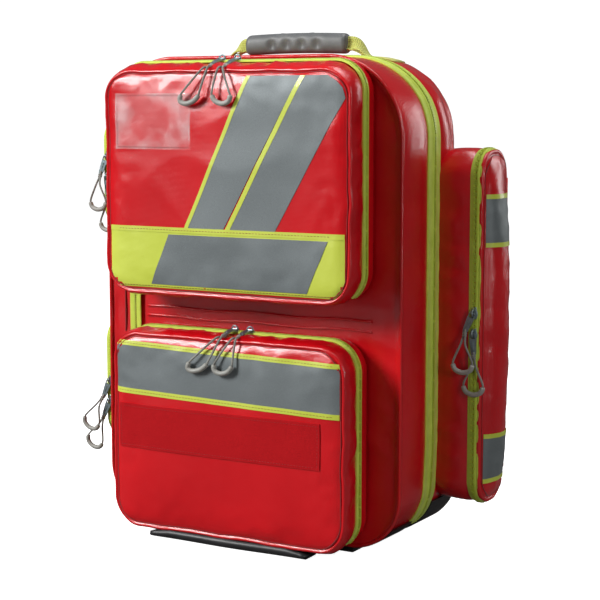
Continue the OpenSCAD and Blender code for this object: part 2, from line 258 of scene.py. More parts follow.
MATERIALS = {
    "red_tarp": tarpaulin("red_tarp", (0.52, 0.002, 0.006), (0.63, 0.004, 0.009)),
    "red_piping": tarpaulin("red_piping", (0.48, 0.003, 0.006), (0.58, 0.006, 0.010), (0.14, 0.24)),
    "lime_trim": tarpaulin("lime_trim", (0.52, 0.60, 0.05), (0.60, 0.68, 0.08), (0.34, 0.5)),
    "lime_tape": woven("lime_tape", (0.52, 0.66, 0.05), (0.64, 0.78, 0.09), 0.0011),
    "zip_teeth": moulded("zip_teeth", (0.42, 0.52, 0.04), (0.52, 0.63, 0.07), (0.3, 0.45)),
    "lime_webbing": woven("lime_webbing", (0.40, 0.42, 0.07), (0.54, 0.55, 0.12), 0.0022),
    "silver_tape": reflective("silver_tape"),
    "grip_rubber": moulded("grip_rubber", (0.085, 0.09, 0.095), (0.125, 0.13, 0.135)),
    "black_boot": moulded("black_boot", (0.008, 0.008, 0.009), (0.02, 0.02, 0.022), (0.35, 0.55), 350, 0.5),
    "black_plastic": moulded("black_plastic", (0.01, 0.01, 0.011), (0.022, 0.022, 0.024), (0.3, 0.45)),
    "black_webbing": woven("black_webbing", (0.012, 0.012, 0.014), (0.03, 0.03, 0.034), 0.0022),
    "black_mesh": spacer_mesh("black_mesh"),
    "grey_lining": woven("grey_lining", (0.10, 0.105, 0.115), (0.15, 0.155, 0.165), 0.0014, sheen=0.05),
    "inner_sheet": moulded("inner_sheet", (0.5, 0.5, 0.48), (0.6, 0.6, 0.58)),
    "grey_cord": woven("grey_cord", (0.20, 0.20, 0.18), (0.30, 0.30, 0.27), 0.0012),
    "tube_grip": moulded("tube_grip", (0.26, 0.26, 0.235), (0.34, 0.34, 0.31), (0.4, 0.55)),
    "zip_metal": enamelled_metal("zip_metal"),
    "hook_loop": pile("hook_loop"),
    "clear_window": clear_sheet("clear_window"),
    "red_thread": woven("red_thread", (0.20, 0.002, 0.003), (0.32, 0.003, 0.005), 0.0008),
}
# Materials that are only in Blender, and the record's slot that each stands in
SLOT_OF = {"tube_grip": "grey_cord", "red_thread": "red_piping", "zip_teeth": "lime_tape"}


# ---------------------------------------------------------------- making pieces

CRISP_ANGLE = math.radians(50)      # a crisp piece is shaded sharp over edges steeper than this


def clamp(x):
    """x held between 0 and 1."""
    return min(max(x, 0), 1)


def piece(name, verts, faces, material, body, replaces=(), smooth=True, inner=None, thick=0.0,
          facing=None, crisp=False):
    """A mesh piece on a CAD body, or on none. thick gives it an inward wall, faced with the
    inner material. Outward is away from its middle, or along facing."""
    mesh = bpy.data.meshes.new(name)
    mesh.from_pydata([tuple(v) for v in verts], [], [tuple(f) for f in faces])
    mesh.validate()
    obj = bpy.data.objects.new(name, mesh)
    bpy.context.scene.collection.objects.link(obj)
    mesh.materials.append(MATERIALS[material])
    tidy_normals(obj, facing)
    if thick:
        mesh.materials.append(MATERIALS[inner or material])
        solid = obj.modifiers.new("wall", "SOLIDIFY")
        solid.thickness = thick
        solid.offset = -1
        solid.material_offset = 1
        solid.material_offset_rim = 0
        apply_modifiers(obj)
    for polygon in obj.data.polygons:
        polygon.use_smooth = smooth
    if crisp:
        obj.data.set_sharp_from_angle(angle=CRISP_ANGLE)
    if body:
        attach(obj, body)
    SLOT_OF.get(material, material)
    if replaces:
        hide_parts(*replaces)
    return obj


def apply_modifiers(obj):
    depsgraph = bpy.context.evaluated_depsgraph_get()
    mesh = bpy.data.meshes.new_from_object(obj.evaluated_get(depsgraph))
    obj.modifiers.clear()
    old = obj.data
    obj.data = mesh
    bpy.data.meshes.remove(old)


def tidy_normals(obj, facing=None):
    """Merges doubled points and turns every face outward, on an open band too."""
    bm = bmesh.new()
    bm.from_mesh(obj.data)
    bmesh.ops.remove_doubles(bm, verts=bm.verts, dist=1e-6)
    bmesh.ops.recalc_face_normals(bm, faces=bm.faces)
    if any(len(edge.link_faces) == 1 for edge in bm.edges):
        centre = sum((v.co for v in bm.verts), Vector()) / len(bm.verts)
        outward = sum(f.calc_area() * f.normal.dot(facing or f.calc_center_median() - centre)
                      for f in bm.faces)
        if outward < 0:
            bmesh.ops.reverse_faces(bm, faces=bm.faces)
    bm.to_mesh(obj.data)
    bm.free()


def join_parts(parts):
    """One list of vertices and faces from several."""
    verts, faces = [], []
    for part_verts, part_faces in parts:
        start = len(verts)
        verts.extend(part_verts)
        faces.extend([[i + start for i in face] for face in part_faces])
    return verts, faces


def in_order(verts, faces):
    """The same points and faces in an order that is the same each run."""
    order = sorted(range(len(verts)), key=lambda i: tuple(verts[i]))
    rank = {old: new for new, old in enumerate(order)}
    ranked = [[rank[i] for i in face] for face in faces]
    turned = [face[face.index(min(face)):] + face[:face.index(min(face))] for face in ranked]
    return [verts[i] for i in order], sorted(turned)


def skirt(faces, previous, start):
    """Adds quads from a loop of indices to the equally long one that starts at start. Returns that."""
    count = len(previous)
    for k in range(count):
        n = (k + 1) % count
        faces.append([previous[k], previous[n], start + n, start + k])
    return [start + k for k in range(count)]


def loft(rings, closed=True, cap_first=False, cap_last=False):
    """Quads between rings of equally many points."""
    count = len(rings[0])
    verts = [tuple(p) for ring in rings for p in ring]
    faces = []
    last = count if closed else count - 1
    for k in range(len(rings) - 1):
        for i in range(last):
            j = (i + 1) % count
            faces.append([k * count + i, k * count + j, (k + 1) * count + j, (k + 1) * count + i])
    if cap_first:
        faces.append(list(range(count))[::-1])
    if cap_last:
        faces.append([(len(rings) - 1) * count + i for i in range(count)])
    return verts, faces


def outline(a, b, r, n, low=None):
    """n points and outward normals evenly round a rounded rectangle of half sizes a and b, whose
    bottom corners have the radius low. It starts at the bottom middle and runs towards +u."""
    r = min(r, a, b)
    q = r if low is None else min(low, a, b)
    runs = [("line", (0, -b), (1, 0), a - q), ("arc", (a - q, q - b), -90, q),
            ("line", (a, q - b), (0, 1), 2 * b - q - r), ("arc", (a - r, b - r), 0, r),
            ("line", (a - r, b), (-1, 0), 2 * (a - r)), ("arc", (r - a, b - r), 90, r),
            ("line", (-a, b - r), (0, -1), 2 * b - q - r), ("arc", (q - a, q - b), 180, q),
            ("line", (q - a, -b), (1, 0), a - q)]
    sizes = [size * math.pi / 2 if kind == "arc" else size for kind, _, _, size in runs]
    total = sum(sizes)
    points, normals = [], []
    for i in range(n):
        s = total * i / n
        for (kind, start, way, size), length in zip(runs, sizes):
            if s <= length:
                break
            s -= length
        if kind == "line":
            points.append((start[0] + way[0] * s, start[1] + way[1] * s))
            normals.append((way[1], -way[0]))
        else:
            angle = math.radians(way) + s / size
            points.append((start[0] + size * math.cos(angle), start[1] + size * math.sin(angle)))
            normals.append((math.cos(angle), math.sin(angle)))
    return np.array(points), np.array(normals)


def wrinkle(p, size, seed=0.0, stretch=(1, 1, 1)):
    """Soft folds with sharper crests, between about -1 and 1."""
    q = Vector((p[0] * stretch[0] / size + seed, p[1] * stretch[1] / size, p[2] * stretch[2] / size - seed))
    n = noise.noise(q)
    m = noise.noise(q * 2.1 + Vector((7, 3, 1)))
    crest, ripple = 1.2 * (0.6 - 2 * abs(n)) * 0.6, 0.5 * m
    return crest + ripple


def crease(p, size):
    """Narrow pleats with flat fabric between them, from 0 to 1."""
    return max(0.0, 1 - 3.2 * abs(noise.noise(Vector(p) / size)))


def tube(points, radius, sides=10, closed=False, radii=None):
    """A round tube along points, with a frame carried along it without twisting."""
    points = [Vector(p) for p in points]
    count = len(points)
    rings, side = [], None
    for i, p in enumerate(points):
        before = points[i - 1] if closed or i else p
        after = points[(i + 1) % count] if closed or i + 1 < count else p
        ahead = (after - before).normalized()
        if side is None:
            side = ahead.orthogonal().normalized()
        side = (side - ahead * side.dot(ahead)).normalized()
        up = ahead.cross(side)
        r = radii[i] if radii is not None else radius
        angles = [2 * math.pi * k / sides for k in range(sides)]
        rings.append([p + (side * math.cos(angle) + up * math.sin(angle)) * r for angle in angles])
    if closed:
        return loft(rings + [rings[0]])
    return loft(rings, cap_first=True, cap_last=True)


def ribbon(line, across, width, thick):
    """A flat strap along a line. across is its width's direction and width its width: one for all, or
    a list with one for each point."""
    rings = []
    last = len(line) - 1
    for i, p in enumerate(line):
        p = Vector(p)
        ahead = (Vector(line[min(i + 1, last)]) - Vector(line[max(i - 1, 0)])).normalized()
        side = Vector(across[i] if isinstance(across, list) else across)
        side = (side - ahead * side.dot(ahead)).normalized()
        up = ahead.cross(side)
        w = (width[i] if isinstance(width, list) else width) / 2
        t = thick / 2
        shares = [a / 4 - 1 for a in range(9)]
        above = [p + side * (w * f) + up * (t * (1 - 0.5 * abs(f) ** 8)) for f in shares]
        below = [p + side * (w * f) - up * (t * (1 - 0.5 * abs(f) ** 8)) for f in shares[::-1]]
        rings.append(above + below)
    return loft(rings, cap_first=True, cap_last=True)


def smooth_line(points, n):
    """n points on a smooth curve through the given ones."""
    pts = [Vector(p) for p in points]
    last = len(pts) - 1
    out = []
    for i in range(n):
        t = i / (n - 1) * last
        k = min(int(t), last - 1)
        f = t - k
        p0, p1, p2, p3 = (pts[min(max(k + d, 0), last)] for d in (-1, 0, 1, 2))
        out.append(0.5 * ((2 * p1) + (p2 - p0) * f + (2 * p0 - 5 * p1 + 4 * p2 - p3) * f * f
                          + (3 * p1 - p0 - 3 * p2 + p3) * f ** 3))
    return out


def block(lo, hi, edge):
    """A box with rounded edges, as vertices and faces."""
    bm = bmesh.new()
    bmesh.ops.create_cube(bm, size=1)
    for v in bm.verts:
        v.co = Vector([lo[k] + (hi[k] - lo[k]) * (v.co[k] + 0.5) for k in range(3)])
    bmesh.ops.bevel(bm, geom=list(bm.edges), offset=edge, segments=2, affect="EDGES", profile=0.6)
    bm.verts.index_update()
    verts = [tuple(v.co) for v in bm.verts]
    faces = [[v.index for v in f.verts] for f in bm.faces]
    bm.free()
    return verts, faces


def rectangle(u0, v0, u1, v1):
    """Corners of a rectangle, from its low left one round to its high left one."""
    return [(u0, v0), (u1, v0), (u1, v1), (u0, v1)]


class Side:
    """A face of the pack: u runs across it, v up it and d outward from it."""

    def __init__(self, origin, u, v, d):
        self.origin, self.u, self.v, self.d = (Vector(x) for x in (origin, u, v, d))

    def at(self, u, v, d=0.0):
        return self.origin + self.u * u + self.v * v + self.d * d

    def all(self, points):
        return [self.at(*p) for p in points]

    def onto(self, surface, u, v, lift):
        """The point that stands lift off a surface at (u, v)."""
        hit = surface.ray_cast(self.at(u, v, 0.2), -self.d)[0]
        return (hit if hit else self.at(u, v)) + self.d * lift


# ---------------------------------------------------------------- soft shells

def break_lines(half, r, step):
    """Grid lines from -half to half that keep a line on each edge of the corner patches."""
    corner = max(2, round(r / step))
    middle = max(2, round(2 * (half - r) / step))
    low = [-half + r * i / corner for i in range(corner)]
    mid = [-(half - r) + 2 * (half - r) * i / middle for i in range(middle)]
    high = [(half - r) + r * i / corner for i in range(corner + 1)]
    return low + mid + high


def face_grid(a, b, r, step):
    """A grid that fills a rounded rectangle, and the indices round its edge from the bottom left."""
    us, vs = break_lines(a, r, step), break_lines(b, r, step)
    points = []
    for v in vs:
        for u in us:
            s, t = (abs(u) - (a - r)) / r, (abs(v) - (b - r)) / r
            x, y = abs(u), abs(v)
            if s > 0 and t > 0:
                x = a - r + r * s * math.sqrt(1 - t * t / 2)
                y = b - r + r * t * math.sqrt(1 - s * s / 2)
            points.append((math.copysign(x, u), math.copysign(y, v)))
    nu, nv = len(us), len(vs)
    faces = [[j * nu + i, j * nu + i + 1, (j + 1) * nu + i + 1, (j + 1) * nu + i]
             for j in range(nv - 1) for i in range(nu - 1)]
    edge = ([i for i in range(nu - 1)] + [j * nu + nu - 1 for j in range(nv - 1)]
            + [(nv - 1) * nu + i for i in range(nu - 1, 0, -1)] + [j * nu for j in range(nv - 1, 0, -1)])
    return points, faces, edge


def edge_normals(points, edge, a, b, r):
    normals = []
    for i in edge:
        x, y = points[i]
        cx = math.copysign(max(abs(x) - (a - r), 0), x)
        cy = math.copysign(max(abs(y) - (b - r), 0), y)
        if abs(x) < a - r + 1e-9:
            cx = 0
        if abs(y) < b - r + 1e-9:
            cy = 0
        size = math.hypot(cx, cy) or 1
        normals.append((cx / size, cy / size))
    return normals


COVER_STEP = 4 * MM       # size of a cover's grid
FULL_DEPTH = 16 * MM      # a cover that is deeper than this has a gusset that swells fully
SEAM_BACK = 2.4 * MM      # how far a full cover's seam lies behind its front
FACE_RISE = 2.6 * MM      # how far a cover's face rises just inside its seam
SEAM_WANDER = 1.1 * MM    # how far a cover's seam strays from its line
LINED = 1.6 * MM          # thickness of covers and gussets with their lining

# A gusset's roll, from the seam back: how far out it stands and how far forward, in mm
GUSSET_ROLL = [(1.0, -0.8), (2.6, 0.8), (4.6, 1.4), (6.4, 0.6), (7.9, -2.0), (9.0, -6.0), (9.4, -11.0)]
GUSSET_WIDE = 9.4


def gusset_section(depth):
    """A cover's gusset from its seam back to the zip, in the terms of the roll."""
    depth_mm = depth / MM
    if depth < FULL_DEPTH:
        return GUSSET_ROLL[:5] + [(8.6, 2.4 - 0.96 * depth_mm / (depth / FULL_DEPTH))]
    back = [(9.2, -depth_mm * f) for f in (0.4, 0.5, 0.6, 0.7, 0.8, 0.9)] + [(9.2, -depth_mm + 2.4)]
    return GUSSET_ROLL + [s for s in back if s[1] < -12.0]


def face_point(x, y, sa, sb, seam_depth, belly, seed, fold):
    """Where a point of a cover's front face goes. The face is crowned by belly, folded, and puckered
    along its seam, which isn't straight: it pulls in and out along its length."""
    p = (x, y, seed)
    rim = max(min(sa - abs(x), sb - abs(y)), 0)      # how far the point lies in from the seam

    def fading(reach):
        """1 on the seam, and less the further in."""
        return math.exp(-rim / (reach * MM))

    crown = (1 - (x / sa) ** 2) * (1 - (y / sb) ** 2)
    lift = FACE_RISE * (1 - fading(7)) + belly * max(crown, 0.0) ** 0.7
    off_seam = 1 - fading(5)
    near_folds = wrinkle(p, 26 * MM, seed) * fading(26)
    broad_folds = 0.9 * wrinkle(p, 95 * MM, seed + 4)
    pucker = 0.55 * off_seam * fading(9) * crease(p, 13 * MM)
    wander = SEAM_WANDER * fold * wrinkle(p, 60 * MM, seed + 21)
    hang = 1 + wander / max(math.hypot(x, y), 30 * MM) * fading(26)
    folds = 1.7 * (near_folds + broad_folds) * off_seam
    return x * hang, y * hang, seam_depth + lift + MM * fold * (folds + pucker)


def cover_shape(a, b, r, depth, belly, seed, fold, seam_in, drop):
    """A stuffed cover: a gusset that swells and rolls over the front, a stitched seam that lies
    seam_in from its edge, and a front face. Local (u, v, d), with d = 0 on the zip's plane. The
    face's top edge sits drop below the zip's."""
    sa, sb, sr = a - seam_in, b - seam_in, max(r - seam_in, 8 * MM)
    grid, faces, edge = face_grid(sa, sb, sr, COVER_STEP)
    normals = edge_normals(grid, edge, sa, sb, sr)
    shallow = min(depth / FULL_DEPTH, 1)
    seam_depth = depth - SEAM_BACK * shallow
    verts = [face_point(x, y, sa, sb, seam_depth, belly, seed, fold) for x, y in grid]
    share = (seam_in / MM + 1.9) / GUSSET_WIDE
    previous = edge
    for out, forward in gusset_section(depth):
        start = len(verts)
        f = seam_depth + forward * shallow * MM
        free = clamp((f - 5 * MM) / (7 * MM)) if depth > FULL_DEPTH else clamp(f / depth)
        o = min(out * share * MM, seam_in - 0.5 * MM + 2.4 * MM * free)
        bow = math.sin(math.pi * clamp(f / depth))
        back_in = clamp(f / (8 * MM))
        for i, (nx, ny) in zip(edge, normals):
            x, y = verts[i][0], verts[i][1]
            place = (x + nx * o, y + ny * o, f)
            dent = 2.3 * MM * fold * bow * free * wrinkle(place, 27 * MM, seed + 9, (1, 1, 0.55))
            dent += 0.8 * MM * fold * bow * free * crease((place[0], place[1], f * 0.5), 17 * MM)
            here_x = x * back_in + grid[i][0] * (1 - back_in)
            here_y = y * back_in + grid[i][1] * (1 - back_in)
            verts.append((here_x + nx * (o + dent), here_y + ny * (o + dent), f))
        previous = skirt(faces, previous, start)
    verts = [(x, y - drop * clamp(f / depth) * (max(y, 0) / b) ** 2, f) for x, y, f in verts]
    return verts, faces, [verts[i] for i in edge]


def add_cover(name, side, a, b, r, depth, belly, body, node, seed, fold, seam_in, drop=0.0):
    """A pocket's opening cover with its stitched welt. Returns a finder of its surface."""
    verts, faces, seam = cover_shape(a, b, r, depth, belly, seed, fold, seam_in, drop)
    placed = side.all(verts)
    piece(name, placed, faces, "red_tarp", body, (node,), inner="grey_lining", thick=LINED)
    welt = side.all([(x, y, z - 0.1 * MM) for x, y, z in seam])
    piece(name + "_seam", *tube(welt, 0.55 * MM, 6, closed=True), "red_thread", body)
    return BVHTree.FromPolygons(placed, faces)


def gusset_band(name, side, a, b, r, d0, d1, swell, body, node, seed, steps=8, fold=1.0):
    """A wall round a pocket, from depth d0 to d1, swollen between them."""
    points, normals = outline(a, b, r, 260)
    rings = []
    for k in range(steps + 1):
        f = k / steps
        d = d0 + (d1 - d0) * f
        bow = math.sin(math.pi * f) * clamp((d1 - d) / (12 * MM)) ** 1.5
        ring = []
        for p, m in zip(points, normals):
            folds = 1.3 * MM * fold * bow * wrinkle((p[0], p[1], d), 34 * MM, seed, (1, 1, 0.4))
            out = swell * bow + folds - 0.2 * MM
            ring.append(side.at(p[0] + m[0] * out, p[1] + m[1] * out, d))
        rings.append(ring)
    piece(name, *loft(rings), "red_tarp", body, (node,), inner="grey_lining", thick=LINED)


# ---------------------------------------------------------------- zips

TOOTH_PITCH = 3.0 * MM
TOOTH_HALF = 0.62 * MM      # half length of a tooth along the zip
TOOTH_SHIFT = 0.75 * MM     # how far the teeth of the two halves are shifted, so that they mesh
TOOTH_FACES = [[0, 1, 3, 2], [4, 6, 7, 5], [0, 4, 5, 1], [2, 3, 7, 6], [0, 2, 6, 4], [1, 5, 7, 3]]


def zip_tooth(side, at, out, d, way):
    """A tooth at a point of the zip's line. It narrows outward."""
    along = Vector((-out.y, out.x))
    shift = TOOTH_SHIFT * way
    corners = []
    for su, so, sd in [(x, y, z) for x in (-1, 1) for y in (0, 1) for z in (0, 1)]:
        c = at + along * (su * TOOTH_HALF * (1 - 0.25 * so) + shift) + out * ((0.6 + 2.2 * so) * MM)
        corners.append(side.at(c.x, c.y, d + way * (sd * 3.2 - 0.9) * MM * (1 - 0.15 * so)))
    return corners, TOOTH_FACES


def zip_half(name, side, a, b, r, d, way, width, body, keep, nodes=(), n=420, low=None, proud=None):
    """Half a zip round an outline of n points at depth d: its tape with a cord edge, and its teeth.
    way is 1 if the tape runs outward along d and -1 if it runs back. keep(u, v) says where it is,
    and proud(u, v) how far the wall under it stands out."""
    points, normals = outline(a, b, r, n, low)
    use = [i for i in range(n) if keep(*points[i])]
    closed = len(use) == n
    if not closed:
        start = next(k for k in range(len(use)) if (use[k] - use[k - 1]) % n != 1)
        use = use[start:] + use[:start]
    stand = [proud(*p) if proud else 0.0 for p in points]
    # The tape's section: (out, along)
    last = width / MM
    section = [(0.5, 0.1), (1.5, 0.6), (1.9, 1.6), (1.9, 3.4), (1.1, 4.2), (1.0, last * 0.55),
               (0.9, last - 2.2), (1.2, last - 1.4), (0.9, last - 0.5), (-0.4, last)]
    rings = [[side.at(points[i][0] + normals[i][0] * (o * MM + stand[i]),
                      points[i][1] + normals[i][1] * (o * MM + stand[i]), d + way * f * MM) for i in use]
             for o, f in section]
    piece(name + "_tape", *loft(rings, closed=closed), "lime_tape", body, nodes, thick=0.5 * MM, crisp=True)
    teeth = []
    length = 0.0
    for i, j in zip(use, use[1:] + use[:1]):
        p, q = Vector(points[i]), Vector(points[j])
        if (q - p).length > 20 * MM:      # across the hinge, where there is no zip
            continue
        length += (q - p).length
        while length >= TOOTH_PITCH:
            length -= TOOTH_PITCH
            out = Vector(normals[i])
            teeth.append(zip_tooth(side, p.lerp(q, 0.5) + out * stand[i], out, d, way))
    piece(name + "_teeth", *join_parts(teeth), "zip_teeth", body, smooth=False)


def add_slider(name, side, u, v, turn, body):
    """A zip slider whose foot lies at (u, v) of a side: a waisted foot and a bridge over the bar."""
    def place(x, y, z):
        px, py = rotated(x, y, turn)
        return side.at(u + px, v + py, z)

    round_angles = [2 * math.pi * i / 16 for i in range(16)]
    rings = []
    for k in range(15):
        f = k / 14
        y = (-6.5 + 13 * f) * MM
        half = (3.1 + 1.6 * math.sin(math.pi * min(f * 1.15, 1)) ** 1.5) * MM
        high = (1.1 + 0.9 * math.sin(math.pi * f)) * MM
        rings.append([place(half * math.cos(t), y, high * 0.5 + high * 0.55 * math.sin(t))
                      for t in round_angles])
    foot = loft(rings, cap_first=True, cap_last=True)
    bridge = []
    for k in range(13):
        f = k / 12
        y = (-4.4 + 8.8 * f) * MM
        bridge.append(place(0, y, (1.4 + 5.0 * math.sin(math.pi * f) ** 0.55) * MM))
    piece(name, *join_parts([foot, tube(bridge, 0.95 * MM, 8)]), "zip_metal", body, (body,))


# ---------------------------------------------------------------- sewn panels

def cut_sheet(shape, step):
    """A flat polygon cut into a fine grid, as points and faces."""
    bm = bmesh.new()
    bm.faces.new([bm.verts.new((x, y, 0)) for x, y in shape])
    lo, hi = np.min(shape, axis=0), np.max(shape, axis=0)
    for axis, normal in enumerate(((1, 0, 0), (0, 1, 0))):
        n = int((hi[axis] - lo[axis]) / step)
        for k in range(1, n + 1):
            at = [0, 0, 0]
            at[axis] = lo[axis] + (hi[axis] - lo[axis]) * k / (n + 1)
            geom = list(bm.verts) + list(bm.edges) + list(bm.faces)
            bmesh.ops.bisect_plane(bm, geom=geom, plane_co=at, plane_no=normal, dist=1e-7)
    bm.verts.index_update()
    points = [(v.co.x, v.co.y) for v in bm.verts]
    faces = [[v.index for v in f.verts] for f in bm.faces]
    bm.free()
    return points, faces


def sewn(name, side, surface, shape, material, body, lift=0.5 * MM, step=5 * MM, nodes=(), thick=0.45 * MM):
    """A panel laid on a soft surface: each point drops onto it from outside."""
    points, faces = cut_sheet(shape, step)
    verts = [side.onto(surface, u, v, lift) for u, v in points]
    piece(name, verts, faces, material, body, nodes, thick=thick, facing=side.d, crisp=True)


def stitches(name, side, surface, path, body, length=2.6 * MM, gap=1.4 * MM, lift=0.55 * MM,
             radius=0.28 * MM):
    """A row of stitches along a path of (u, v) points on a soft surface."""
    parts = []
    sink = side.d * 0.3 * MM
    for (u0, v0), (u1, v1) in zip(path, path[1:]):
        run = math.hypot(u1 - u0, v1 - v0)
        for k in range(int(run / (length + gap))):
            start = k * (length + gap)
            first, last = (side.onto(surface, u0 + (u1 - u0) * s / run, v0 + (v1 - v0) * s / run, lift)
                           for s in (start, start + length))
            parts.append(tube([first - sink, first.lerp(last, 0.5), last - sink], radius, 5))
    piece(name, *join_parts(parts), "red_thread", body)


# ---------------------------------------------------------------- pullers

BAR_H = 3.9 * MM                         # height of a puller's bar over its slider's foot
TAB_HOLE_MM = -21.3                      # middle of the hole in a tab
TAB_HOLE = TAB_HOLE_MM * MM
TAB_THICK_MM = 1.5
LOOP_LONG, LOOP_WIDE = 46 * MM, 23 * MM
EDGE_LOOP_LONG = 56 * MM                 # a loop that runs over a front pocket's edge
LOOP_RISE = {"a": 6.5 * MM, "b": 0.0}    # how far a loop stands out, to rest on the puller below
CORD_R, TUBE_R = 1.25 * MM, 2.8 * MM
GRIP_POINTS = slice(25, 47)              # the part of a loop's 72 points that its tube grip covers


def tab_parts(place):
    """The metal tab: two arms, a tapered plate with a hole, a bar and a rib. place(x, y, z) puts a
    point, with the hinge bar at the origin and the tab along -y."""
    plate = [(-4.2, -5.2), (-3.5, -14), (-3.0, -21), (-2.0, -24.4), (0, -25.2), (2.0, -24.4), (3.0, -21),
             (3.5, -14), (4.2, -5.2)]
    angles = np.linspace(-math.pi, math.pi, 17)[:-1]
    hole = [(1.5 * math.cos(t), TAB_HOLE_MM + 1.5 * math.sin(t)) for t in angles]
    bm = bmesh.new()
    for ring in [[bm.verts.new((x, y, 0)) for x, y in line] for line in (plate, hole)]:
        for k in range(len(ring)):
            bm.edges.new((ring[k], ring[(k + 1) % len(ring)]))
    bmesh.ops.triangle_fill(bm, edges=list(bm.edges), use_beauty=True)
    made = bmesh.ops.extrude_face_region(bm, geom=list(bm.faces))
    for element in made["geom"]:
        if isinstance(element, bmesh.types.BMVert):
            element.co.z += TAB_THICK_MM
    bm.verts.index_update()
    verts = [place(v.co.x * MM, v.co.y * MM, (v.co.z - TAB_THICK_MM / 2) * MM) for v in bm.verts]
    faces = [[v.index for v in f.verts] for f in bm.faces]
    bm.free()

    def rod(line, radius):
        return tube([place(x * MM, y * MM, z * MM) for x, y, z in line], radius * MM, 8)

    arms = [rod([(x, 0, 0), (x, -3, 0), (x * 0.98, -6, 0)], 0.75) for x in (-3.5, 3.5)]
    bar = rod([(-3.8, 0, 0), (3.8, 0, 0)], 0.65)
    rib = rod([(0, -8, 0.75), (0, -17, 0.75)], 0.6)
    return [in_order(verts, faces), *arms, bar, rib]


def add_pull_loop(name, place, body, long):
    """A cord loop from a tab's hole: a hitch, two legs that part, and a tube grip round the bottom.
    place(x, y, z) is local: the loop hangs along -y."""
    half, end = LOOP_WIDE / 2 / MM, -long / MM
    legs = [(0.4, 1.5), (1.2, -3.5), (1.6, -7), (3.2, -16), (half - 1.2, end + 15), (half, end + 8.5),
            (half * 0.72, end + 2.5), (0, end)]
    loop = legs + [(-x, y) for x, y in legs[::-1][1:]]
    crossing = 0.9 * MM      # the legs pass each other in the hole
    heights = [crossing if k < 3 else -crossing if k > len(loop) - 4 else 0 for k in range(len(loop))]
    curve = smooth_line([place(x * MM, y * MM, z) for (x, y), z in zip(loop, heights)], 72)
    cord = piece(name + "_cord", *tube(curve, CORD_R, 8), "grey_cord", body)
    length = sum((q - p).length for p, q in zip(curve, curve[1:]))
    grip_at = curve[GRIP_POINTS]
    radii = [TUBE_R * (0.86 if k in (0, len(grip_at) - 1) else 1) for k in range(len(grip_at))]
    grip = piece(name + "_grip", *tube(grip_at, TUBE_R, 12, radii=radii), "tube_grip", body)
    hitch = []
    for turn in range(2):
        ring = [place(1.9 * MM * math.cos(t), -(3.2 + 2.2 * turn) * MM + 0.5 * MM * math.sin(t),
                      2.1 * MM * math.sin(t)) for t in np.linspace(0, 2 * math.pi, 15)[:-1]]
        hitch.append(tube(ring, 0.95 * MM, 7, closed=True))
    knot = piece(name + "_hitch", *join_parts(hitch), "grey_cord", body)
    tuple(curve[0])
    [tuple(p) for p in curve]


def rotated(x, y, angle):
    """A point turned about the origin."""
    c, s = math.cos(angle), math.sin(angle)
    return x * c - y * s, x * s + y * c


def add_flat_puller(name, side, u, v, lean, hang, rise, body):
    """A puller that hangs down a wall: the tab leans, and the loop hangs from its hole and stands
    out by rise."""
    def tab_place(x, y, z):
        px, py = rotated(x, y, math.radians(lean))
        return side.at(u + px, v + py, BAR_H + z)

    hole_x, hole_y = rotated(0, TAB_HOLE, math.radians(lean))

    def loop_place(x, y, z):
        px, py = rotated(x, y, math.radians(hang))
        return side.at(u + hole_x + px, v + hole_y + py, BAR_H + z + rise * clamp(-y / (16 * MM)))

    piece(name, *join_parts(tab_parts(tab_place)), "zip_metal", body, (body,), smooth=False)
    add_pull_loop(name, loop_place, body, LOOP_LONG)


def add_edge_puller(name, x, y, z, over, hang, slope, body):
    """A puller that runs forward over a pocket's top edge, down its slope, and hangs down in front,
    leaning by hang."""
    def tab_place(px, py, pz):
        dip = max(0.0, (-py - 10 * MM)) ** 2 / (34 * MM)
        return Vector((x + px, y + py, z + BAR_H + pz - dip * 0.45 + slope * py))

    bend = 9 * MM                             # radius over the edge
    quarter = bend * math.pi / 2
    run = over + TAB_HOLE - 1.0 * MM          # from the hole to where the bend starts

    def loop_place(px, py, pz):
        s = -py
        if s < run:
            fwd, drop, t = s, 0.0, 0.0
        elif s < run + quarter:
            t = (s - run) / bend
            fwd, drop = run + bend * math.sin(t), bend * (1 - math.cos(t))
        else:
            t = math.pi / 2
            fwd, drop = run + bend, bend + s - run - quarter
        lean = math.tan(math.radians(hang)) * drop
        drop += slope * (min(s, run) - TAB_HOLE)
        return Vector((x + px - lean, y + TAB_HOLE - fwd + bend - 7.2 * MM - pz * math.sin(t),
                       z + BAR_H - 2.5 * MM - drop + pz * math.cos(t)))

    piece(name, *join_parts(tab_parts(tab_place)), "zip_metal", body, (body,), smooth=False)
    add_pull_loop(name, loop_place, body, EDGE_LOOP_LONG)


# ---------------------------------------------------------------- CAD boxes

def cad(node):
    lo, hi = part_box(node)
    return Vector(lo), Vector(hi)


def middle(node):
    lo, hi = cad(node)
    return (lo + hi) / 2, (hi - lo) / 2


FRONT = dict(u=(1, 0, 0), v=(0, 0, 1), d=(0, -1, 0))
RIGHT = dict(u=(0, 1, 0), v=(0, 0, 1), d=(1, 0, 0))
LEFT = dict(u=(0, -1, 0), v=(0, 0, 1), d=(-1, 0, 0))


# ---------------------------------------------------------------- main body

TOP_R, LOW_R = 90 * MM, 60 * MM      # the body's corner radii
RING_POINTS = 420                    # points round the body
SHELL_THICK = 1.8 * MM
ZIP_TAPE = 15 * MM                   # width of one half's tape on the main zip
ZIP_BULGE = 3.6 * MM                 # how far the walls stand out beside the main zip


def body_bulge(v, half):
    """Share of the bulge at that height: none round the bottom corners, where the boots are, and
    next to none on top, where the handle swings down."""
    from_top = clamp((half - v) / (48 * MM))
    over_boots = clamp((v + half - 40 * MM) / (70 * MM))
    return over_boots ** 0.8 * (0.08 + 0.92 * from_top)


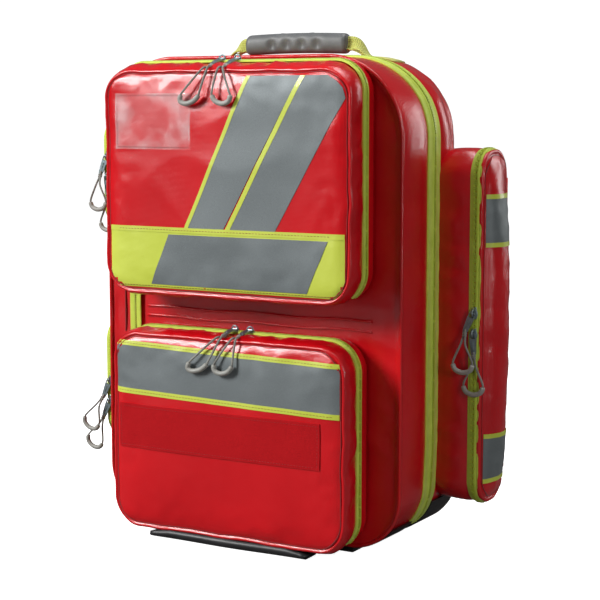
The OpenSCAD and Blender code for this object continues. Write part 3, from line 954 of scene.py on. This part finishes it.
def body_rings(side, half, section, fold):
    """Rings of a body half: section is (out, depth, share of the fold), in mm, and fold(p) in metres."""
    rings = []
    for out, d, share in smooth_line(section, 44):
        inset = max(-out, 0) * MM
        points, normals = outline(half.x - inset, half.z - inset, TOP_R - inset * 0.4, RING_POINTS,
                                  LOW_R - inset * 0.25)
        ring = []
        for p, m in zip(points, normals):
            o = max(out, 0) * MM * body_bulge(p[1], half.z) + share * fold((p[0], p[1], d * MM))
            ring.append(side.at(p[0] + m[0] * o, p[1] + m[1] * o, d * MM))
        rings.append(ring)
    return rings


def add_lid():
    mid, half = middle("lid_shell")
    lo, hi = cad("lid_shell")
    side = Side((mid.x, hi.y, mid.z), **FRONT)
    depth = (hi.y - lo.y) / MM

    def fold(p):
        return 2.2 * MM * wrinkle(p, 52 * MM, 2, (1, 1, 0.35)) * body_bulge(p[1], half.z)

    section = [(3.4, 0.2, 0), (3.6, 8, 0), (3.7, 15, 0.1), (4.6, 21, 0.6), (4.8, 32, 1), (3.6, 46, 1),
               (1.8, 58, 0.8), (0.2, depth - 4, 0.3), (-0.6, depth - 0.5, 0)]
    rings = body_rings(side, half, section, fold)
    # The front panel: from the piping inward, rings that shrink and sink
    for inset, sink in [(2.5, 0.4), (5, 1.2), (9, 2.0), (16, 2.4), (26, 2.8), (40, 3.0), (60, 3.2),
                        (90, 3.4), (130, 3.4), (165, 3.4)]:
        i = inset * MM
        inner, _ = outline(half.x - i, half.z - i, max(TOP_R - i, 8 * MM), RING_POINTS,
                           max(LOW_R - i, 8 * MM))
        ring = []
        for p in inner:
            dent = wrinkle((p[0], p[1], 0), 48 * MM, 5) * min(inset / 14, 1)
            ring.append(side.at(p[0], p[1], (depth - sink) * MM + 2.0 * MM * dent))
        rings.append(ring)
    piece("lid_fabric", *loft(rings, cap_last=True), "red_tarp", "lid", ("lid_shell",),
          inner="grey_lining", thick=SHELL_THICK)
    points, normals = outline(half.x, half.z, TOP_R, RING_POINTS, LOW_R)
    piping = [side.at(*(p + m * 0.6 * MM), (depth + 0.6) * MM) for p, m in zip(points, normals)]
    piece("lid_piping_cord", *tube(piping, 2.1 * MM, 10, closed=True), "red_piping", "lid", ("lid_piping",))


def add_rear_shell():
    mid, half = middle("rear_shell")
    side = Side((mid.x, cad("rear_shell")[0].y, mid.z), (1, 0, 0), (0, 0, 1), (0, 1, 0))

    def fold(p):
        long_folds = wrinkle((p[0], p[1] * 0.35, p[2] * 1.6), 40 * MM, 11)
        return 3.0 * MM * long_folds * body_bulge(p[1], half.z)

    section = [(3.4, 0.2, 0), (3.6, 8, 0), (3.7, 15, 0.1), (5.2, 21, 0.5), (6.0, 30, 1), (5.6, 40, 1),
               (3.8, 50, 0.9), (0, 58, 0.8), (-4, 66, 0.7), (-10, 74, 0.6), (-18, 81, 0.4), (-29, 86, 0.2),
               (-44, 89.6, 0)]
    piece("rear_fabric", *loft(body_rings(side, half, section, fold), cap_last=True), "red_tarp", "shell",
          ("rear_shell",), inner="grey_lining", thick=SHELL_THICK)


def add_main_zip():
    mid, half = middle("lid_shell")
    side = Side((mid.x, cad("lid_shell")[1].y, mid.z), **FRONT)
    low = cad("main_zip_lid_tape")[0].z - mid.z

    def above_boots(u, v):
        return v > low or abs(u) > half.x - 20 * MM

    def proud(u, v):
        return ZIP_BULGE * body_bulge(v, half.z)

    for body, d, way in (("lid", 0.1, 1), ("shell", -0.6, -1)):
        zip_half(f"main_zip_{body}", side, half.x + 0.4 * MM, half.z + 0.4 * MM, TOP_R, d * MM, way, ZIP_TAPE,
                 body, above_boots, (f"main_zip_{body}_tape",), n=620, low=LOW_R, proud=proud)


# ---------------------------------------------------------------- front pockets

POCKET_R = 34 * MM
FACE_DROP = {"upper": 9 * MM, "lower": 4 * MM}      # how far a cover's face sags below its zip
FRONT_TAPE = 5.5 * MM      # widths of one half's tape on the front and the side pockets' zips
SIDE_TAPE = 6.8 * MM


def add_front_pocket(kind, belly, seed):
    """A front pocket's rim, cover and zip. Returns its side and a finder of the cover's surface."""
    cover, rim = f"{kind}_pocket_cover", f"{kind}_pocket_rim"
    mid, half = middle(cover)
    lo, hi = cad(cover)
    rim_depth = cad(rim)[0].y - cad(rim)[1].y - 0.3 * MM
    side = Side((mid.x, hi.y, mid.z), **FRONT)
    shape = (side, half.x, half.z, POCKET_R)
    surface = add_cover(f"{kind}_cover_fabric", *shape, hi.y - lo.y, belly, f"{kind}_cover", cover, seed,
                        fold=1.25, seam_in=5 * MM, drop=FACE_DROP[kind])
    gusset_band(f"{kind}_rim_fabric", *shape, d0=rim_depth, d1=-0.4 * MM, swell=0.8 * MM, body="lid",
                node=rim, seed=seed + 3)

    def off_hinge(u, v):
        return v > -half.z + 6 * MM

    zip_half(f"{kind}_zip_cover", *shape, d=0.1 * MM, way=1, width=FRONT_TAPE, body=f"{kind}_cover",
             keep=off_hinge)
    zip_half(f"{kind}_zip_rim", *shape, d=-0.5 * MM, way=-1, width=FRONT_TAPE, body="lid", keep=off_hinge)
    return side, surface


def add_upper_graphics(side, surface):
    """Generic safety marking: two slanted silver bars over a full-width lime and silver band."""
    body = "upper_cover"
    centre = side.origin
    # Heights and widths in mm, in the CAD's frame
    left, right = -151, 151
    band_low, band_top = 289, 353
    bar_low, bar_top = band_top + 4, 524
    bar_slope = 0.56      # how far the bars lean to the right for each mm up

    def local(points):
        return [(x * MM - centre.x, z * MM - centre.z) for x, z in points]

    def lean(x, z):
        return x + bar_slope * (z - band_top), z

    def lay(name, points, material, lift=0.5):
        sewn(f"upper_{name}", side, surface, local(points), material, body, lift=lift * MM)

    top_left = lean(2, bar_top)[0] - 62
    lay("bar_left", [(-44, bar_low), (2, bar_low), lean(2, bar_top), (top_left, bar_top)], "silver_tape")
    lay("bar_right", [lean(8, bar_low), lean(64, bar_low), (right, 500), (148, 511), (141, 518),
                      (130, bar_top), lean(8, bar_top)], "silver_tape")
    lay("stripe_mid", [lean(2, bar_low), lean(8, bar_low), lean(8, bar_top), lean(2, bar_top)],
        "lime_trim", 0.75)
    lay("stripe_left", [(-49, bar_low), (-44, bar_low), (top_left, bar_top), (top_left - 5, bar_top)],
        "lime_trim", 0.75)
    lay("band", [(left, band_low + 18), (left + 4, band_low + 8), (left + 12, band_low),
                 (right - 12, band_low), (right - 4, band_low + 8), (right, band_low + 18),
                 (right, band_top), (left, band_top)], "lime_trim")
    lay("band_silver", [(-96, band_low + 4), (106, band_low + 4), (132, band_top - 3), (-70, band_top - 3)],
        "silver_tape", 0.95)
    lay("stripe_top", rectangle(left, band_top - 1, right, band_top + 5), "lime_trim", 1.0)
    for name, z in (("low", band_low + 2), ("high", band_top + 2)):
        path = local([(left + 14, z), (right - 14, z)])
        stitches(f"upper_band_stitch_{name}", side, surface, path, body, lift=1.3 * MM)


def box_on(side, node):
    """A CAD box as it lies on a side that faces the front: (u0, v0, u1, v1)."""
    lo, hi = cad(node)
    centre = side.origin
    return lo.x - centre.x, lo.z - centre.z, hi.x - centre.x, hi.z - centre.z


def add_id_window(side, surface):
    u0, v0, u1, v1 = box_on(side, "id_window")
    sewn("id_window_sheet", side, surface, rectangle(u0, v0, u1, v1), "clear_window", "upper_cover",
         lift=0.7 * MM, nodes=("id_window",), thick=0.35 * MM)
    inset = 2.5 * MM      # the window's right edge is open, and has no stitches
    path = [(u1, v1 - inset), (u0 + inset, v1 - inset), (u0 + inset, v0 + inset), (u1, v0 + inset)]
    stitches("id_window_stitch", side, surface, path, "upper_cover", length=1.6 * MM, gap=1.2 * MM,
             lift=0.9 * MM)


def add_lower_graphics(side, surface):
    """A silver band between two lime strips, and the hook-and-loop patch under it."""
    body = "lower_cover"
    reach = middle("lower_pocket_cover")[1].x - 5.8 * MM
    tilt = 3.5 * MM      # the band is sewn on a little lower at the right
    for name, z0, z1, material, lift in (("lime_top", 218, 223.5, "lime_trim", 0.75),
                                         ("silver", 169, 218, "silver_tape", 0.5),
                                         ("lime_low", 163, 169, "lime_trim", 0.75)):
        v0, v1 = z0 * MM - side.origin.z, z1 * MM - side.origin.z
        strip = [(-reach, v0 + tilt), (reach, v0 - tilt), (reach, v1 - tilt), (-reach, v1 + tilt)]
        sewn(f"lower_band_{name}", side, surface, strip, material, body, lift=lift * MM)
        if name != "silver":
            v = (v0 + v1) / 2
            path = [(-reach + 4 * MM, v + tilt), (reach - 4 * MM, v - tilt)]
            stitches(f"lower_band_{name}_stitch", side, surface, path, body, lift=1.05 * MM,
                     radius=0.22 * MM)
    u0, v0, u1, v1 = box_on(side, "hook_loop_patch")
    sewn("name_patch", side, surface, rectangle(u0, v0, u1, v1), "hook_loop", body, lift=1.1 * MM,
         nodes=("hook_loop_patch",), thick=1.0 * MM)
    inset = 3 * MM
    loop = rectangle(u0 + inset, v0 + inset, u1 - inset, v1 - inset)
    stitches("name_patch_stitch", side, surface, loop + loop[:1], body, length=2.2 * MM, lift=1.15 * MM)


def add_lid_front_details():
    """What shows between the front pockets: a document pocket's zip, its seam and its flap's folds."""
    low, high = cad("lower_pocket_cover")[1].z, cad("upper_pocket_cover")[0].z
    side = Side((0, cad("lid_shell")[0].y, 0), **FRONT)
    z0, z1 = low - 12 * MM, high + 10 * MM
    for k, x in enumerate((-160, -151.5)):
        strip = [side.at(x * MM, z0 + (z1 - z0) * i / 12, (1.6 - 0.5 * abs(i - 6) / 6) * MM)
                 for i in range(13)]
        piece(f"document_zip_tape_{k}", *ribbon(strip, (1, 0, 0), 6.8 * MM, 1.4 * MM), "lime_tape", "lid")
    teeth = [block(side.at(-156.9 * MM, z0 + d, 0.4 * MM) - Vector((0, 2.6 * MM, 0)),
                   side.at(-154.7 * MM, z0 + d + 1.3 * MM, 0.4 * MM), 0.2 * MM)
             for d in np.arange(0, z1 - z0, 2.4 * MM)]
    piece("document_zip_teeth", *join_parts(teeth), "zip_teeth", "lid", smooth=False)
    seam = [side.at(-172 * MM, z0 + (z1 - z0) * i / 20, -1.2 * MM) for i in range(21)]
    piece("document_seam", *tube(seam, 0.9 * MM, 6), "red_thread", "lid")
    for name, z in (("low", low + 9 * MM), ("high", low + 20 * MM)):
        line = [side.at((-140 + 295 * i / 40) * MM, z + 0.8 * MM * math.sin(i * 0.4), -1.0 * MM)
                for i in range(41)]
        piece(f"document_flap_{name}", *tube(line, 1.3 * MM, 8), "red_tarp", "lid")


def add_cover_boot():
    """The black wear strip sewn under the lower pocket's front edge."""
    front = cad("lower_pocket_cover")[0].y
    rings = []
    for k in range(41):
        f = k / 40
        x = (-102 + 204 * f) * MM
        ease = min(f, 1 - f) * 8
        high = (8.5 if ease > 1 else 5 + 3.5 * ease)
        y0 = front + (2.0 + 0.8 * math.sin(9 * f)) * MM
        dip = 1.2 * MM * math.sin(math.pi * f)
        section = [(0, 0.8), (2.2, 0.0), (12, 0.0), (24, 0.4), (27, 2), (27, high), (8, high + 0.8),
                   (-0.6, high + 1.6), (-1.6, high * 0.6)]
        ring = []
        for back, up in section:
            sole = 0.3 if up < 1 else 0
            ring.append((x, y0 + back * MM, 0.6 * MM + up * MM + (1.2 * MM - dip) * sole))
        rings.append(ring)
    piece("lower_cover_boot", *loft(rings, cap_first=True, cap_last=True), "black_boot", "lower_cover")


# ---------------------------------------------------------------- harness


def pad_shape(a, b, r, thick, channels, crown, edge_r):
    """A closed cushion: a crowned face with sewn channels across it, rolled edges and a flat back.
    Local (u, v, d); channels are heights v."""
    sa, sb, sr = a - edge_r, b - edge_r, max(r - edge_r, 6 * MM)
    grid, faces, edge = face_grid(sa, sb, sr, 6 * MM)
    normals = edge_normals(grid, edge, sa, sb, sr)
    verts = []
    for x, y in grid:
        rim = max(min(sa - abs(x), sb - abs(y)), 0)
        swell = crown * (1 - math.exp(-rim / (12 * MM)))
        for c in channels:
            swell -= crown * 1.6 * math.exp(-((y - c) / (3.5 * MM)) ** 2) * min(rim / (8 * MM), 1)
        verts.append((x, y, thick - crown + swell))
    roll = [(share, thick - crown - edge_r * down) for share, down in ((0.45, 0.12), (0.8, 0.4), (1.0, 0.8))]
    previous = edge
    for share, d in [*roll, (1.0, 1.5 * MM), (0.5, 0.0)]:
        start = len(verts)
        for i, (nx, ny) in zip(edge, normals):
            x, y = grid[i]
            verts.append((x + nx * edge_r * share, y + ny * edge_r * share, d))
        previous = skirt(faces, previous, start)
    faces.append(previous[::-1])
    return verts, faces


def add_harness():
    def placed(verts, cx, cz, base):
        return [Vector((cx - u, base + d, cz + v)) for u, v, d in verts]

    mid, half = middle("back_panel")
    lo, hi = cad("back_panel")
    channels = [(k - 3) * 62 * MM for k in range(7)]
    verts, faces = pad_shape(half.x, half.z, 60 * MM, hi.y - lo.y, channels, crown=4 * MM,
                             edge_r=8 * MM)
    back_pad = piece("back_pad", placed(verts, mid.x, mid.z, lo.y), faces, "black_mesh", "shell",
                     ("back_panel",))
    thick = 12 * MM
    channels = [(k - 1) * 90 * MM for k in range(3)]
    for name in ("left", "right"):
        node = f"shoulder_strap_{name}"
        mid, half = middle(node)
        lo, hi = cad(node)
        rise, reach = hi.y - lo.y, half.z
        radius = (reach ** 2 + rise ** 2) / (2 * rise)
        half_arc = radius * math.asin(reach / radius) - 2 * MM
        verts, faces = pad_shape(half.x, half_arc, 20 * MM, thick, channels, crown=2.5 * MM,
                                 edge_r=4 * MM)
        bent = []
        for u, v, d in verts:
            angle = v / (radius - thick / 2)
            bent.append(Vector((mid.x + u, hi.y - radius + (radius - thick + d) * math.cos(angle),
                                mid.z + (radius - thick + d) * math.sin(angle))))
        strap_pad = piece(f"strap_pad_{name}", bent, faces, "red_tarp", "shell", (node,))
    mid, half = middle("hip_belt_wings")
    lo, hi = cad("hip_belt_wings")
    half_wing = 63 * MM
    channels = (-12 * MM, 12 * MM)
    parts = []
    for s in (-1, 1):
        verts, faces = pad_shape(half_wing, half.z, 30 * MM, hi.y - lo.y, channels, crown=2.5 * MM,
                                 edge_r=4 * MM)
        parts.append((placed(verts, s * (half.x - half_wing), mid.z, lo.y), faces))
    hip_pads = piece("hip_pads", *join_parts(parts), "red_tarp", "shell", ("hip_belt_wings",))


def add_hinge_strip(name, b, corner, along, across):
    """Flat fabric that runs from a corner along one vector and across by another. b is not used."""
    columns, rows = 24, 14
    along, across, corner = Vector(along), Vector(across), Vector(corner)
    lines = [[corner + along * (i / columns) + across * (j / rows) for i in range(columns + 1)]
             for j in range(rows + 1)]
    strip = piece(name, *loft(lines, closed=False), "red_tarp", None, thick=0.9 * MM,
                  facing=along.cross(across))
    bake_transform(strip)


def add_hinge_strips():
    """Flat fabric strips where the lid, the covers and the caps turn."""
    low, hi = cad("lid_shell")[0].z, cad("lid_shell")[1]
    add_hinge_strip("lid_hinge_fabric", "lid", (-118 * MM, hi.y + 11 * MM, low - 0.6 * MM),
                    (236 * MM, 0, 0), (0, -22 * MM, 0))
    for kind in ("upper", "lower"):
        lo, hi = cad(f"{kind}_pocket_cover")
        reach = hi.x - 36 * MM
        add_hinge_strip(f"{kind}_hinge_fabric", f"{kind}_cover",
                        (-reach, hi.y + 7 * MM, lo.z - 1.2 * MM), (2 * reach, 0, 0), (0, -14 * MM, 0))
    inset = 32 * MM
    for kind, body, sign in (("right_pocket", "right_cap", 1), ("left_upper", "left_upper_cap", -1),
                             ("left_lower", "left_lower_cap", -1)):
        lo, hi = cad(f"{kind}_cap")
        plane = lo.x if sign > 0 else hi.x
        add_hinge_strip(f"{kind}_hinge_fabric", body,
                        (plane - sign * 8 * MM, hi.y + 2.6 * MM, lo.z + inset),
                        (0, 0, hi.z - lo.z - 2 * inset), (sign * 16 * MM, 0, 0))


# ---------------------------------------------------------------- side pockets

SIDE_R = {"right": 30 * MM, "left_upper": 24 * MM, "left_lower": 24 * MM}


def add_side_pocket(kind, gusset, cap, ways, body, seed, belly, bands=()):
    """A side pocket: its gusset on the shell, its cap with the zip between them, and sewn bands."""
    mid, half = middle(cap)
    lo, hi = cad(cap)
    sign = ways["d"][0]
    plane, root = (lo.x, cad("rear_shell")[1].x) if sign > 0 else (hi.x, cad("rear_shell")[0].x)
    side = Side((plane, mid.y, mid.z), **ways)
    shape = (side, half.y, half.z, SIDE_R[kind])
    depth = hi.x - lo.x
    edge = min(9 * MM, depth * 0.45)      # height of the cap's wall; its face crowns over the rest
    surface = add_cover(f"{kind}_cap_fabric", *shape, edge, depth - edge - 2.5 * MM + belly, body, cap, seed,
                        fold=1.3, seam_in=6 * MM)
    gusset_band(f"{kind}_gusset_fabric", *shape, d0=-abs(plane - root) + 0.5 * MM, d1=-0.4 * MM,
                swell=2.4 * MM, body="shell", node=gusset, seed=seed + 3, steps=16, fold=2.2)

    def off_hinge(u, v):
        return u * sign < half.y - 3 * MM

    zip_half(f"{kind}_zip_cap", *shape, d=0.1 * MM, way=1, width=SIDE_TAPE, body=body, keep=off_hinge)
    zip_half(f"{kind}_zip_gusset", *shape, d=-0.5 * MM, way=-1, width=SIDE_TAPE, body="shell",
             keep=off_hinge)
    reach = half.y - 6.5 * MM
    for name, z0, z1 in bands:
        rows = [("lime_low", z0, z0 + 5, "lime_trim", 1.15), ("silver", z0 + 5, z1 - 5, "silver_tape", 0.9),
                ("lime_top", z1 - 5, z1, "lime_trim", 1.15)]
        for row, low, high, material, lift in rows:
            strip = rectangle(-reach, low * MM - mid.z, reach, high * MM - mid.z)
            sewn(f"{kind}_band_{name}_{row}", side, surface, strip, material, body, lift=lift * MM,
                 step=2.5 * MM)


# ---------------------------------------------------------------- handles

def add_grip(name, place, half, radius, body, node, dimples=True, tall=1.0):
    """A moulded grip: arched, flattened below, with finger dimples in front and a raised rim on top.
    place(x, y, z) is local: the grip runs along x, y is its front and z its top."""
    rings = []
    steps, sides = 72, 40
    for k in range(steps + 1):
        f = k / steps * 2 - 1
        x = half * f
        end = 1 - 0.22 * max(0.0, (abs(f) - 0.93) / 0.07) ** 2
        arch = radius * 0.16 * (1 - f * f)
        ring = []
        for i in range(sides):
            t = 2 * math.pi * i / sides
            c, s = math.cos(t), math.sin(t)
            ry, rz = radius * 0.98 * end, radius * tall * (0.98 if s > 0 else 0.86) * end
            power = 0.82
            y = ry * math.copysign(abs(c) ** power, c)
            z = rz * math.copysign(abs(s) ** power, s)
            if dimples:
                for d in range(4):
                    gx = (f - (-0.45 + 0.3 * d)) / 0.075
                    gz = (s + 0.1) / 0.42
                    if c > 0:
                        y -= radius * 0.27 * math.exp(-gx * gx - gz * gz)
                oval = math.hypot(f / 0.30, c / 0.62)
                if s > 0:
                    z += radius * 0.055 * math.exp(-((oval - 1) / 0.07) ** 2)
            ring.append(place(x, y, z + arch))
        rings.append(ring)
    obj = piece(name, *loft(rings, cap_first=True, cap_last=True), "grip_rubber", body, (node,))
    sub = obj.modifiers.new("smooth", "SUBSURF")
    sub.levels = sub.render_levels = 1
    apply_modifiers(obj)


def add_top_handle():
    """The top grip with its webbing. Returns the webbing's sewn feet."""
    mid, half = middle("top_handle_grip")
    shell = cad("rear_shell")[1]

    def place(x, y, z):
        return Vector((mid.x + x, mid.y - y, mid.z + z))

    def round_off(x):
        """How far the shell's rounded top lies below its middle."""
        past = max(abs(x) - (shell.x - TOP_R), 0)
        return TOP_R - math.sqrt(TOP_R ** 2 - past ** 2)

    add_grip("top_grip", place, half.x, half.y, "top_handle", "top_handle_grip", tall=1.22)
    points = 22
    shares = [i / (points - 1) for i in range(points)]
    widths = [(19 - 10 * f) * MM for f in shares]
    turns = [Vector((0, f, (1 - f) ** 1.5)) for f in shares]
    arms, feet = [], []
    for s in (-1, 1):
        x = s * half.x
        strap = [(x - s * 8 * MM, mid.y, mid.z), (x + s * 7 * MM, mid.y, mid.z + 0.5 * MM),
                 (x + s * 16 * MM, mid.y, mid.z - 4 * MM), (x + s * 24 * MM, mid.y, mid.z - 12 * MM),
                 (x + s * 29 * MM, mid.y, shell.z + 2.2 * MM)]
        fold = [(x - s * 4 * MM, mid.y + 1 * MM, mid.z - 5 * MM),
                (x + s * 9 * MM, mid.y + 1 * MM, mid.z - 7 * MM),
                (x + s * 22 * MM, mid.y + 1 * MM, shell.z + 4 * MM)]
        arms.append(ribbon(smooth_line(strap, points), turns, widths, 2.6 * MM))
        arms.append(ribbon(smooth_line(fold, 12), (0, 1, 0), 10 * MM, 2.2 * MM))
        foot = [(x + s * d * MM, mid.y, shell.z + h * MM - round_off(x + s * d * MM)) for d, h in
                ((24, 2.6), (30, 2.0), (40, 1.6), (50, 1.6), (60, 1.7), (66, 1.7))]
        feet.append(ribbon(foot, (0, 1, 0), 25 * MM, 2.2 * MM))
    piece("top_handle_strap", *join_parts(arms), "lime_webbing", "top_handle", ("top_handle_webbing",))
    return feet


def add_side_handle():
    """The left grip with its webbing. Returns the webbing's sewn feet."""
    mid, half = middle("side_handle_grip")
    wall = cad("rear_shell")[0].x

    def place(x, y, z):
        return Vector((mid.x - z, mid.y - y, mid.z + x))

    add_grip("side_grip", place, half.z, half.y, "side_handle", "side_handle_grip", dimples=False)
    arms, feet = [], []
    for s in (-1, 1):
        z = mid.z + s * half.z
        strap = [(mid.x, mid.y, z - s * 6 * MM), (mid.x - 0.5 * MM, mid.y, z + s * 4 * MM),
                 (mid.x + 7 * MM, mid.y, z + s * 10 * MM), (wall - 3 * MM, mid.y, z + s * 14 * MM)]
        arms.append(ribbon(smooth_line(strap, 18), (0, 1, 0), 19 * MM, 2.4 * MM))
        foot = [(wall - h * MM, mid.y, z + s * d * MM)
                for d, h in ((9, 2.2), (14, 1.8), (18, 1.4), (21, 1.2))]
        feet.append(ribbon(foot, (0, 1, 0), 22 * MM, 2.0 * MM))
    piece("side_handle_strap", *join_parts(arms), "lime_webbing", "side_handle", ("side_handle_webbing",))
    return feet


# ---------------------------------------------------------------- sliders and pullers

# How a puller's loop hangs, in degrees, and on a flat wall how its tab leans before that
EDGE_HANGS = {"upper": {"a": 29, "b": -9}, "lower": {"a": 38, "b": 19}}
FLAT_LEANS = {"right": {"a": (-24, 0), "b": (4, 0)}, "left_upper": {"a": (-24, 0), "b": (4, 0)},
              "left_lower": {"a": (-24, -24), "b": (-24, -24)}, "main": {"a": (24, 0), "b": (-4, 0)}}


def add_zip_pulls():
    for kind, hangs in EDGE_HANGS.items():
        depth = cad(f"{kind}_pocket_cover")[1].y - cad(f"{kind}_pocket_cover")[0].y
        for letter, hang in hangs.items():
            slider, puller = f"{kind}_slider_{letter}", f"{kind}_puller_{letter}"
            mid = middle(slider)[0]
            foot = cad(slider)[0].z
            top = Side((0, 0, foot + 1.0 * MM), (1, 0, 0), (0, 1, 0), (0, 0, 1))
            add_slider(f"{slider}_metal", top, mid.x, mid.y, math.pi / 2, slider)
            add_edge_puller(f"{puller}_tab", mid.x, mid.y, foot, depth + 1.6 * MM, hang,
                            FACE_DROP[kind] / depth, puller)
    for kind, leans in FLAT_LEANS.items():
        for letter, (lean, hang) in leans.items():
            slider, puller = f"{kind}_slider_{letter}", f"{kind}_puller_{letter}"
            mid = middle(slider)[0]
            foot = cad(slider)[1]
            if kind == "main":
                side, u = Side((foot.x - ZIP_BULGE - 0.6 * MM, 0, 0), **LEFT), -mid.y
            else:
                side, u = Side((0, foot.y - 1.0 * MM, 0), **FRONT), mid.x
            add_slider(f"{slider}_metal", side, u, mid.z, 0, slider)
            add_flat_puller(f"{puller}_tab", side, u, mid.z, lean, hang, LOOP_RISE[letter], puller)


# ---------------------------------------------------------------- stage and light

# Area lights: place, height they aim at, width and height, power in watts
LIGHTS = {
    "key": ((-1.9, -2.3, 1.8), 0.3, (0.9, 1.2), 125),
    "window": ((-1.75, -2.3, 0.62), 0.45, (0.55, 0.5), 1.8),
    "fill": ((2.6, -1.3, 0.9), 0.3, (0.5, 0.6), 17),
    "rim": ((1.5, 2.5, 1.0), 0.3, (0.6, 1.4), 17),
    "top": ((0.3, 0.1, 2.3), 0.3, (1.2, 0.9), 24),
}
WHITE = (1, 1, 1, 1)
FLOOR_HALF = 40


def area_light(name, place, aim_height, size, power):
    data = bpy.data.lights.new(name, "AREA")
    data.shape = "RECTANGLE"
    data.size, data.size_y = size
    data.energy = power
    lamp = bpy.data.objects.new(name, data)
    bpy.context.scene.collection.objects.link(lamp)
    lamp.location = place
    lamp.rotation_euler = (Vector((0, 0, aim_height)) - Vector(place)).to_track_quat("-Z", "Y").to_euler()


def show_to_camera(tree, seen, other, output):
    """The camera sees one shader, and every other ray finds the other."""
    path = tree.nodes.new("ShaderNodeLightPath")
    mix = tree.nodes.new("ShaderNodeMixShader")
    tree.links.new(path.outputs["Is Camera Ray"], mix.inputs["Fac"])
    tree.links.new(other.outputs[0], mix.inputs[1])
    tree.links.new(seen.outputs[0], mix.inputs[2])
    tree.links.new(mix.outputs[0], tree.nodes[output].inputs["Surface"])


def add_stage():
    """A white floor and backdrop for the camera, in a dim room: the room is what the gloss reflects."""
    s = FLOOR_HALF
    mesh = bpy.data.meshes.new("floor")
    mesh.from_pydata([(-s, -s, 0), (s, -s, 0), (s, s, 0), (-s, s, 0)], [], [(0, 1, 2, 3)])
    floor = bpy.data.objects.new("floor", mesh)
    bpy.context.scene.collection.objects.link(floor)
    n = Nodes("floor")
    n.roughened(3, 2, 0.75, 0.85)
    mesh.materials.append(n.set(Base_Color=(0.9, 0.9, 0.9, 1), Specular_IOR_Level=0.05,
                                Emission_Color=WHITE, Emission_Strength=0.95))
    dim_floor = n.add("ShaderNodeBsdfDiffuse")
    dim_floor.inputs["Color"].default_value = (0.16, 0.155, 0.155, 1)
    show_to_camera(n.tree, n.bsdf, dim_floor, "Material Output")
    world = bpy.data.worlds.new("studio")
    bpy.context.scene.world = world
    world.use_nodes = True
    backdrop = world.node_tree.nodes["Background"]
    room = world.node_tree.nodes.new("ShaderNodeBackground")
    for shader, strength in ((backdrop, 1.1), (room, 0.13)):
        shader.inputs["Color"].default_value = WHITE
        shader.inputs["Strength"].default_value = strength
    show_to_camera(world.node_tree, backdrop, room, "World Output")
    for name, settings in LIGHTS.items():
        area_light(name, *settings)
    bpy.context.scene.view_settings.view_transform = "Standard"


# ---------------------------------------------------------------- build

add_camera()
add_zip_pulls()
add_lid()
add_rear_shell()
add_main_zip()
upper_side, upper_surface = add_front_pocket("upper", belly=2.2 * MM, seed=3.0)
add_upper_graphics(upper_side, upper_surface)
add_id_window(upper_side, upper_surface)
lower_side, lower_surface = add_front_pocket("lower", belly=2.6 * MM, seed=8.0)
add_lower_graphics(lower_side, lower_surface)
RIGHT_BANDS = (("high", 338, 396), ("low", 74, 130))      # name, lowest and highest point in mm
add_side_pocket("right", "right_pocket_gusset", "right_pocket_cap", RIGHT, "right_cap", seed=13.0,
                belly=1 * MM, bands=RIGHT_BANDS)
for side_kind, side_seed in (("left_upper", 17.0), ("left_lower", 19.0)):
    left_cap = f"{side_kind}_cap"
    add_side_pocket(side_kind, "left_pocket_gussets", left_cap, LEFT, left_cap, seed=side_seed, belly=2 * MM)
add_lid_front_details()
add_cover_boot()
add_harness()
add_hinge_strips()
anchor_feet = add_top_handle() + add_side_handle()
piece("handle_feet", *join_parts(anchor_feet), "lime_webbing", "shell", ("handle_anchors",))
add_stage()

slots = {row["node"]: row["material_slot"] for row in frame["record"]["subparts"]}
for node_name, node_object in frame["nodes"].items():
    for material_slot in node_object.material_slots:
        material_slot.material = MATERIALS[slots[node_name]]
